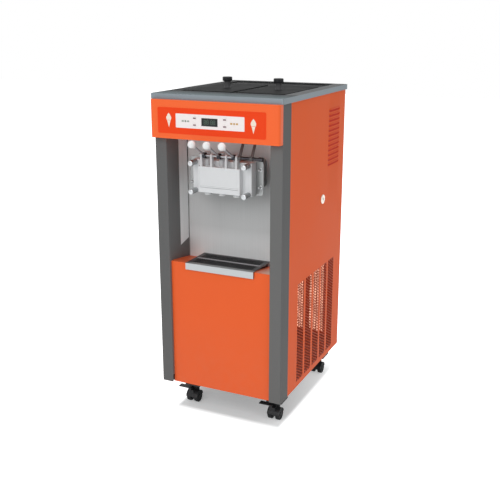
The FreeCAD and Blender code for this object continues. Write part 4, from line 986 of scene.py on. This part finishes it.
def buildKnobs():
    turn = np.linspace(-0.92, 1, 25) * np.pi / 2
    ball = [(knob["radius"] * math.cos(a), knob["radius"] * math.sin(a)) for a in turn[:-1]]
    neck, start, end = knob["neckRadius"], ball[0][1] - knob["neckLength"], ball[0][1] - 0.001
    profile = [(0.0, start), (neck - 0.0008, start), (neck, start + 0.0008), (neck, end)]
    profile += ball[1:] + [(0.0, knob["radius"])]
    for side in ("left", "centre", "right"):
        node = "lever_ball_" + side
        low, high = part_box(node)
        part = alongLever(turned(profile, 48), (low + high) / 2)
        addPiece("leverKnob" + side.capitalize(), part, "white", "lever_" + side,
                 [node])


lid = {
    "thickness": 0.004,
    "corner": 0.008,
    "bevel": 0.0012,
    "drop": 0.008,
    "skirtInset": 0.0082,
    "skirtWall": 0.002,
    "neckRadius": 0.013,
    "neckLength": 0.026,
    "capRadius": 0.020,
    "capLength": 0.017,
    "capBevel": 0.003,
}


def buildLids():
    # Pressed lid with a rounded rim and a locating skirt, a waisted neck and a thick cap.
    turn = np.linspace(0, np.pi / 2, 5)
    bevels = list(zip(lid["bevel"] * (1 - np.cos(turn)), -lid["bevel"] * (1 - np.sin(turn))))
    for side in ("left", "right"):
        low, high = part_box("hopper_lid_" + side)
        centre, half = (low + high) / 2, (high - low) / 2
        seat, top = low.z + lid["drop"], low.z + lid["drop"] + lid["thickness"]
        def outline(inset, level, tighter=1.0):
            return roundedOutline(half.x - inset, half.y - inset, lid["corner"] - inset * tighter, level)
        rings = [outline(0, seat)] + [outline(inset, top + drop) for inset, drop in bevels]
        inset, inner = lid["skirtInset"], lid["skirtInset"] + lid["skirtWall"]
        skirt = [outline(edge, level, 0.5)
                 for edge, level in ((inset, low.z), (inset, seat), (inner, seat), (inner, low.z))]
        radius, foot = lid["neckRadius"], top + lid["neckLength"]
        waist = [(radius + 0.003 * (2 * rise - 1) ** 4 - 0.001, top + lid["neckLength"] * rise)
                 for rise in np.linspace(0, 1, 9)]
        neck = turned([(0, top)] + waist + [(0, foot)], 40)
        radius, bevel, end = lid["capRadius"], lid["capBevel"], foot + lid["capLength"]
        cap = turned(np.concatenate([[(0, foot)], arc((radius - bevel, foot + bevel), bevel, -90, 0, 4),
                                     arc((radius - bevel, end - bevel), bevel, 0, 90, 4), [(0, end)]]), 48)
        for name, part, finish in (("Plate", joined([lofted(rings), lofted(skirt, ring=True)]), "lid"),
                                   ("Neck", neck, "neck"), ("Cap", cap, "black")):
            addPiece("lid" + name + side.capitalize(), moved(part, (centre.x, centre.y, 0)), finish,
                     "lid_" + side, ["hopper_lid_" + side] if finish == "lid" else ())


grip = {
    "radius": 0.0108,
    "length": 0.046,
    "flutes": 8,
    "fluteDepth": 0.16,
    "fluteEnds": (0.005, 0.041),
    "stud": 0.0040,
}
flangeNut = {
    "across": 0.146,
    "levels": (1.001, 1.069),
    "washer": 0.0078,
    "radius": 0.0052,
    "length": 0.018,
}


def facingFront(part, x, y, z):
    # Turns a part from +Z to the back, with its foot at a place in front.
    return mapped(part, (1, 0, 0), (0, 0, -1), (0, 1, 0), (x, y, z))


def buildHandscrews():
    # Fluted grips on their studs, one at each corner of the head.
    low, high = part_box("handscrews")
    centres = [(x, z) for x in (low.x + 0.011, high.x - 0.011) for z in (low.z + 0.011, high.z - 0.011)]
    start, stop = grip["fluteEnds"]
    def flute(angle, height):
        inside = np.clip((height - start) / 0.002, 0, 1) * np.clip((stop - height) / 0.002, 0, 1)
        return 1 - grip["fluteDepth"] * inside * (0.5 + 0.5 * np.cos(grip["flutes"] * angle)) ** 3
    radius, length = grip["radius"], grip["length"]
    profile = [(0, 0), (radius - 0.0024, 0), (radius - 0.0008, 0.0008), (radius, 0.0024)]
    profile += [(radius, height) for height in np.linspace(start, stop, 15)]
    profile += [(radius, length - 0.0028), (radius - 0.0012, length - 0.0012),
                (radius - 0.0035, length - 0.0006), (radius - 0.0040, length), (0, length)]
    reach = high.y - low.y
    parts = []
    for x, z in centres:
        parts.append(facingFront(turned(profile, 64, flute), x, low.y, z))
        stud = turned([(0, length), (grip["stud"], length), (grip["stud"], reach), (0, reach)], 20)
        parts.append(facingFront(stud, x, low.y, z))
    addPiece("headScrews", joined(parts), "bright", "cabinet", ["handscrews"])


def buildFlangeNuts():
    # Domed nuts on washers that hold the housing to the splash panel.
    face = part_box("head_flange")[0].y
    radius, length = flangeNut["radius"], flangeNut["length"]
    turn = np.linspace(0, np.pi / 2, 6)
    dome = [(radius * math.sin(a), radius * (1 - math.cos(a))) for a in turn]
    profile = dome + [(radius, length - 0.0022), (flangeNut["washer"], length - 0.0018),
                      (flangeNut["washer"], length), (0, length)]
    parts = [facingFront(turned(profile, 28), side * flangeNut["across"], face - length, level)
             for side in (-1, 1) for level in flangeNut["levels"]]
    addPiece("flangeNuts", joined(parts), "bright", "cabinet")


wheel = {
    "radius": 0.025,
    "width": 0.019,
    "shoulder": 0.0035,
    "gap": 0.016,
    # (radius, height over the face) from the tread's edge to the hub cap's middle
    "dish": [(0.0195, 0.0), (0.0188, -0.0022), (0.0105, -0.0030), (0.0100, -0.0010), (0.0085, -0.0002),
             (0.0045, -0.0001), (0.0, 0.0)],
}


def buildWheels():
    # Twin wheels: round tread, dished face and a domed hub cap, on one axle.
    radius, width, bend = wheel["radius"], wheel["width"], wheel["shoulder"]
    profile = np.concatenate([
        [(0, 0), (0.012, 0), (0.012, 0)], arc((radius - bend, bend), bend, -90, 0, 5),
        arc((radius - bend, width - bend), bend, 0, 90, 5), np.array(wheel["dish"]) + [0, width]])
    for corner in ("front_left", "front_right", "rear_left", "rear_right"):
        low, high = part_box("castor_wheels_" + corner)
        centre = (low + high) / 2
        parts = []
        for side in (-1, 1):
            disc = turned(profile, 56)
            parts.append(mapped(disc, (0, side, 0), (0, 0, 1), (side, 0, 0),
                                (centre.x + side * wheel["gap"] / 2, centre.y, centre.z)))
        axle = turned([(0, 0), (0.004, 0), (0.004, wheel["gap"] + 0.001), (0, wheel["gap"] + 0.001)], 20)
        parts.append(mapped(axle, (0, 1, 0), (0, 0, 1), (1, 0, 0),
                            (centre.x - wheel["gap"] / 2 - 0.0005, centre.y, centre.z)))
        name = "wheels" + corner.title().replace("_", "")
        addPiece(name, joined(parts), "tread", "wheels_" + corner,
                 ["castor_wheels_" + corner])


lock = {
    "rim": 0.0200,
    "plug": 0.0095,
    "groove": 0.0012,
    "proud": 0.0040,
    "keyhole": (0.0030, 0.0062),
}


def buildLock():
    # Escutcheon with a rolled rim, a groove round the plug, the plug's stem, and a black sheet painting
    # the keyhole's shade.
    low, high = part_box("side_lock")
    centre = (high.x - lock["proud"], (low.y + high.y) / 2, high.z - lock["rim"])
    rim, plug, proud = lock["rim"], lock["plug"], lock["proud"]
    turn = np.linspace(0, np.pi / 2, 6)
    rolled = [(rim - 0.0030 + 0.0030 * math.cos(a), 0.0010 + 0.0028 * math.sin(a)) for a in turn]
    profile = [(0, -0.0155), (0.0105, -0.0155), (0.0105, 0.0), (rim, 0.0)] + rolled
    profile += [(plug + 0.0030, proud - 0.0006), (plug + lock["groove"], proud - 0.0014),
                (plug, proud - 0.0014), (plug, proud - 0.0002), (plug - 0.0008, proud), (0, proud)]
    face = mapped(turned(profile, 64), (0, 1, 0), (0, 0, 1), (1, 0, 0), centre)
    cam = roundedBox((low.x, centre[1] - 0.008, low.z),
                     (low.x + 0.003, centre[1] + 0.008, centre[2] + 0.008), 0.0008)
    addPiece("camLock", joined([face, cam]), "lockSteel", "lock", ["side_lock"])
    half, tall = lock["keyhole"]
    outline = np.concatenate([arc((0, tall - half), half, 0, 180), arc((0, half - tall), half, 180, 360)])
    hole = mapped(plate(outline, 0.00012), (0, 1, 0), (0, 0, 1), (1, 0, 0),
                  (centre[0] + proud - 0.0001, centre[1], centre[2]))
    addPiece("lockKeyholeShade", hole, "black", "lock", smoothAngle=20)


buildLids()
buildLock()
buildKnobs()
buildHandscrews()
buildFlangeNuts()
buildWheels()
print("turned pieces built")


def onLabel(part, x, z, lift=0.00005):
    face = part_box("control_fascia")[0].y
    return mapped(part, (1, 0, 0), (0, 0, 1), (0, -1, 0), (x, face - lift, z))


marks = {
    "thickness": 0.00012,
    "coneWidth": 0.024,
    "cornets": ((-0.187, 1.2535), (0.167, 1.2485)),
    "bar": (0.0046, 0.0032),
    "barShifts": (-0.0115, 0.0115),
}


def coneMark():
    # A plain cornet: a narrow cone, its rim, and two round swirls with a tip above, each a little prouder.
    half = marks["coneWidth"] / 2
    shapes = [[(0, -0.0275), (half * 0.62, -0.001), (-half * 0.62, -0.001)],
              [(-half * 0.8, 0.0002), (half * 0.8, 0.0002), (half * 0.72, 0.0045), (-half * 0.72, 0.0045)],
              arc((0, 0.0085), half * 0.92, -28, 208, 22),
              arc((0, 0.0165), half * 0.62, -35, 215, 20),
              [(-half * 0.34, 0.0212), (half * 0.34, 0.0212), (half * 0.10, 0.0262), (-0.0006, 0.0272)]]
    return joined([moved(plate(shape, marks["thickness"]), (0, 0, 0.00002 * index))
                   for index, shape in enumerate(shapes)])


def buildMarks():
    cornets = [onLabel(coneMark(), *place) for place in marks["cornets"]]
    addPiece("cornetMarks", joined(cornets), "inkWhite", "cabinet", smoothAngle=20)
    bar = plate(roundedOutline(*marks["bar"], 0.0008, 0.0)[:, :2], marks["thickness"])
    for name, ink in (("standby", "inkGrey"), ("run", "inkAmber")):
        bars = [onLabel(bar, label[name] + shift, label["lampLevel"]) for shift in marks["barShifts"]]
        addPiece(name + "Marks", joined(bars), ink, "cabinet", smoothAngle=20)


def segmentOutline(centre, size, upright):
    # One bar of a digit, pointed at both ends.
    half, tip = size / 2, size * 0.14
    shape = np.array([(-half, 0), (-half + tip, -tip), (half - tip, -tip), (half, 0), (half - tip, tip),
                      (-half + tip, tip)])
    return (shape[:, ::-1] * [1, -1] if upright else shape) + centre


def buildDigits():
    # Two pairs of unlit figure-eights behind the window.
    size = 0.0070
    bars = [((0, row * size), False) for row in (1, 0, -1)]
    bars += [((across * size / 2, row * size / 2), True) for row in (1, -1) for across in (1, -1)]
    parts = []
    for offset in (-0.0190, -0.0085, 0.0085, 0.0190):
        for centre, upright in bars:
            bar = plate(segmentOutline(np.array(centre) * 1.06, size * 0.94, upright), marks["thickness"])
            parts.append(onLabel(bar, label["digits"] + offset, label["lampLevel"]))
    addPiece("displayDigits", joined(parts), "segment", "cabinet", smoothAngle=20)


buildMarks()
buildDigits()
print("marks built")


view = {
    "place": (1.3711, -2.93915, 1.6283),
    "towards": (-0.4063, 0.8689, -0.2827),
    "lens": 56.9,
}
light = {
    "ambient": 0.50,
    "glow": (0.22, 1.0),           # the floor's, low under the machine and full far from it: a painted shadow patch
    "glowReach": 0.045,
    # the patch painted paler towards the back and the right
    "rearGlow": ((-0.10, 0.45), 0.22),
    "rightGlow": ((0.12, 0.22), 0.06),
    # place, size and energy of each lamp
    "keyLight": ((-0.4, -4.4, 3.0), 3.6, 86.0),
    "fillLight": ((3.8, -1.2, 2.2), 2.4, 14.0),
    "topLight": ((0.0, 0.4, 8.0), 0.4, 112.0),
}
# middle, half and sharpness of the painted shadow patch under the machine, in x and in y
shadowPatch = [(0.0, 0.230, 2.0), (0.110, 0.335, 1.0)]


def seenRays(tree):
    # 1 for what is seen directly, in a gloss or through a clear sheet.
    path = addNode(tree, "LightPath")
    kinds = [out(path, "Is %s Ray" % kind) for kind in ("Camera", "Glossy", "Transmission")]
    return kinds[0].atLeast(kinds[1].atLeast(kinds[2]))


def buildStage():
    floorMesh = bpy.data.meshes.new("floor")
    floorMesh.from_pydata([(-14, -14, 0), (14, -14, 0), (14, 14, 0), (-14, 14, 0)], [], [(0, 1, 2, 3)])
    floor = placed("floor", floorMesh)
    material = bpy.data.materials.new("floorPaper")
    material.use_nodes = True
    tree = material.node_tree
    tree.nodes.clear()
    x, y, z = coordinates(tree)
    # Painted shadow: the glow is low over a patch under the machine and full beyond it.
    away = [((abs(axis - middle) - half) * sharpness).atLeast(0.0).power(2.0)
            for axis, (middle, half, sharpness) in zip((x, y), shadowPatch)]
    near, far = light["glow"]
    (rearFade, rearShare), (rightFade, rightShare) = light["rearGlow"], light["rightGlow"]
    paler = ramp(y, *rearFade) * rearShare + ramp(x, *rightFade) * rightShare
    strength = out(addNode(tree, "MapRange", i0=(away[0] + away[1]).squareRoot(), i1=0.0,
                           i2=light["glowReach"], i3=paler + near, i4=far))
    matte = out(addNode(tree, "BsdfDiffuse", Color=(0.86, 0.89, 0.90, 1.0)))
    glow = out(addNode(tree, "Emission", Color=(1.0, 1.0, 1.0, 1.0), Strength=seenRays(tree) * strength))
    both = out(addNode(tree, "AddShader", i0=matte, i1=glow))
    addNode(tree, "OutputMaterial", Surface=both)
    floorMesh.materials.append(material)


def buildWorld():
    world = bpy.data.worlds.new("studio")
    bpy.context.scene.world = world
    world.use_nodes = True
    background, ambient = world.node_tree.nodes["Background"], light["ambient"]
    background.inputs["Color"].default_value = (1.0, 1.0, 1.0, 1.0)
    feed(background.inputs["Strength"], seenRays(world.node_tree) * (1 - ambient) + ambient)


def addAreaLight(name):
    place, size, energy = light[name]
    lamp = bpy.data.lights.new(name, "AREA")
    lamp.shape = "DISK"
    lamp.size = size
    lamp.energy = energy
    holder = placed(name, lamp)
    holder.location = place
    holder.rotation_euler = (Vector((0, 0, 0.7)) - Vector(place)).to_track_quat("-Z", "Y").to_euler()


def buildCamera():
    data = bpy.data.cameras.new("viewCamera")
    data.lens = view["lens"]
    data.sensor_width = 36.0
    data.clip_end = 60.0
    camera = placed("viewCamera", data)
    camera.location = view["place"]
    camera.rotation_euler = Vector(view["towards"]).to_track_quat("-Z", "Y").to_euler()
    bpy.context.scene.camera = camera


bpy.context.scene.view_settings.view_transform = "Standard"
buildStage()
buildWorld()
addAreaLight("keyLight")
addAreaLight("fillLight")
addAreaLight("topLight")
buildCamera()
print("stage, light and view set")
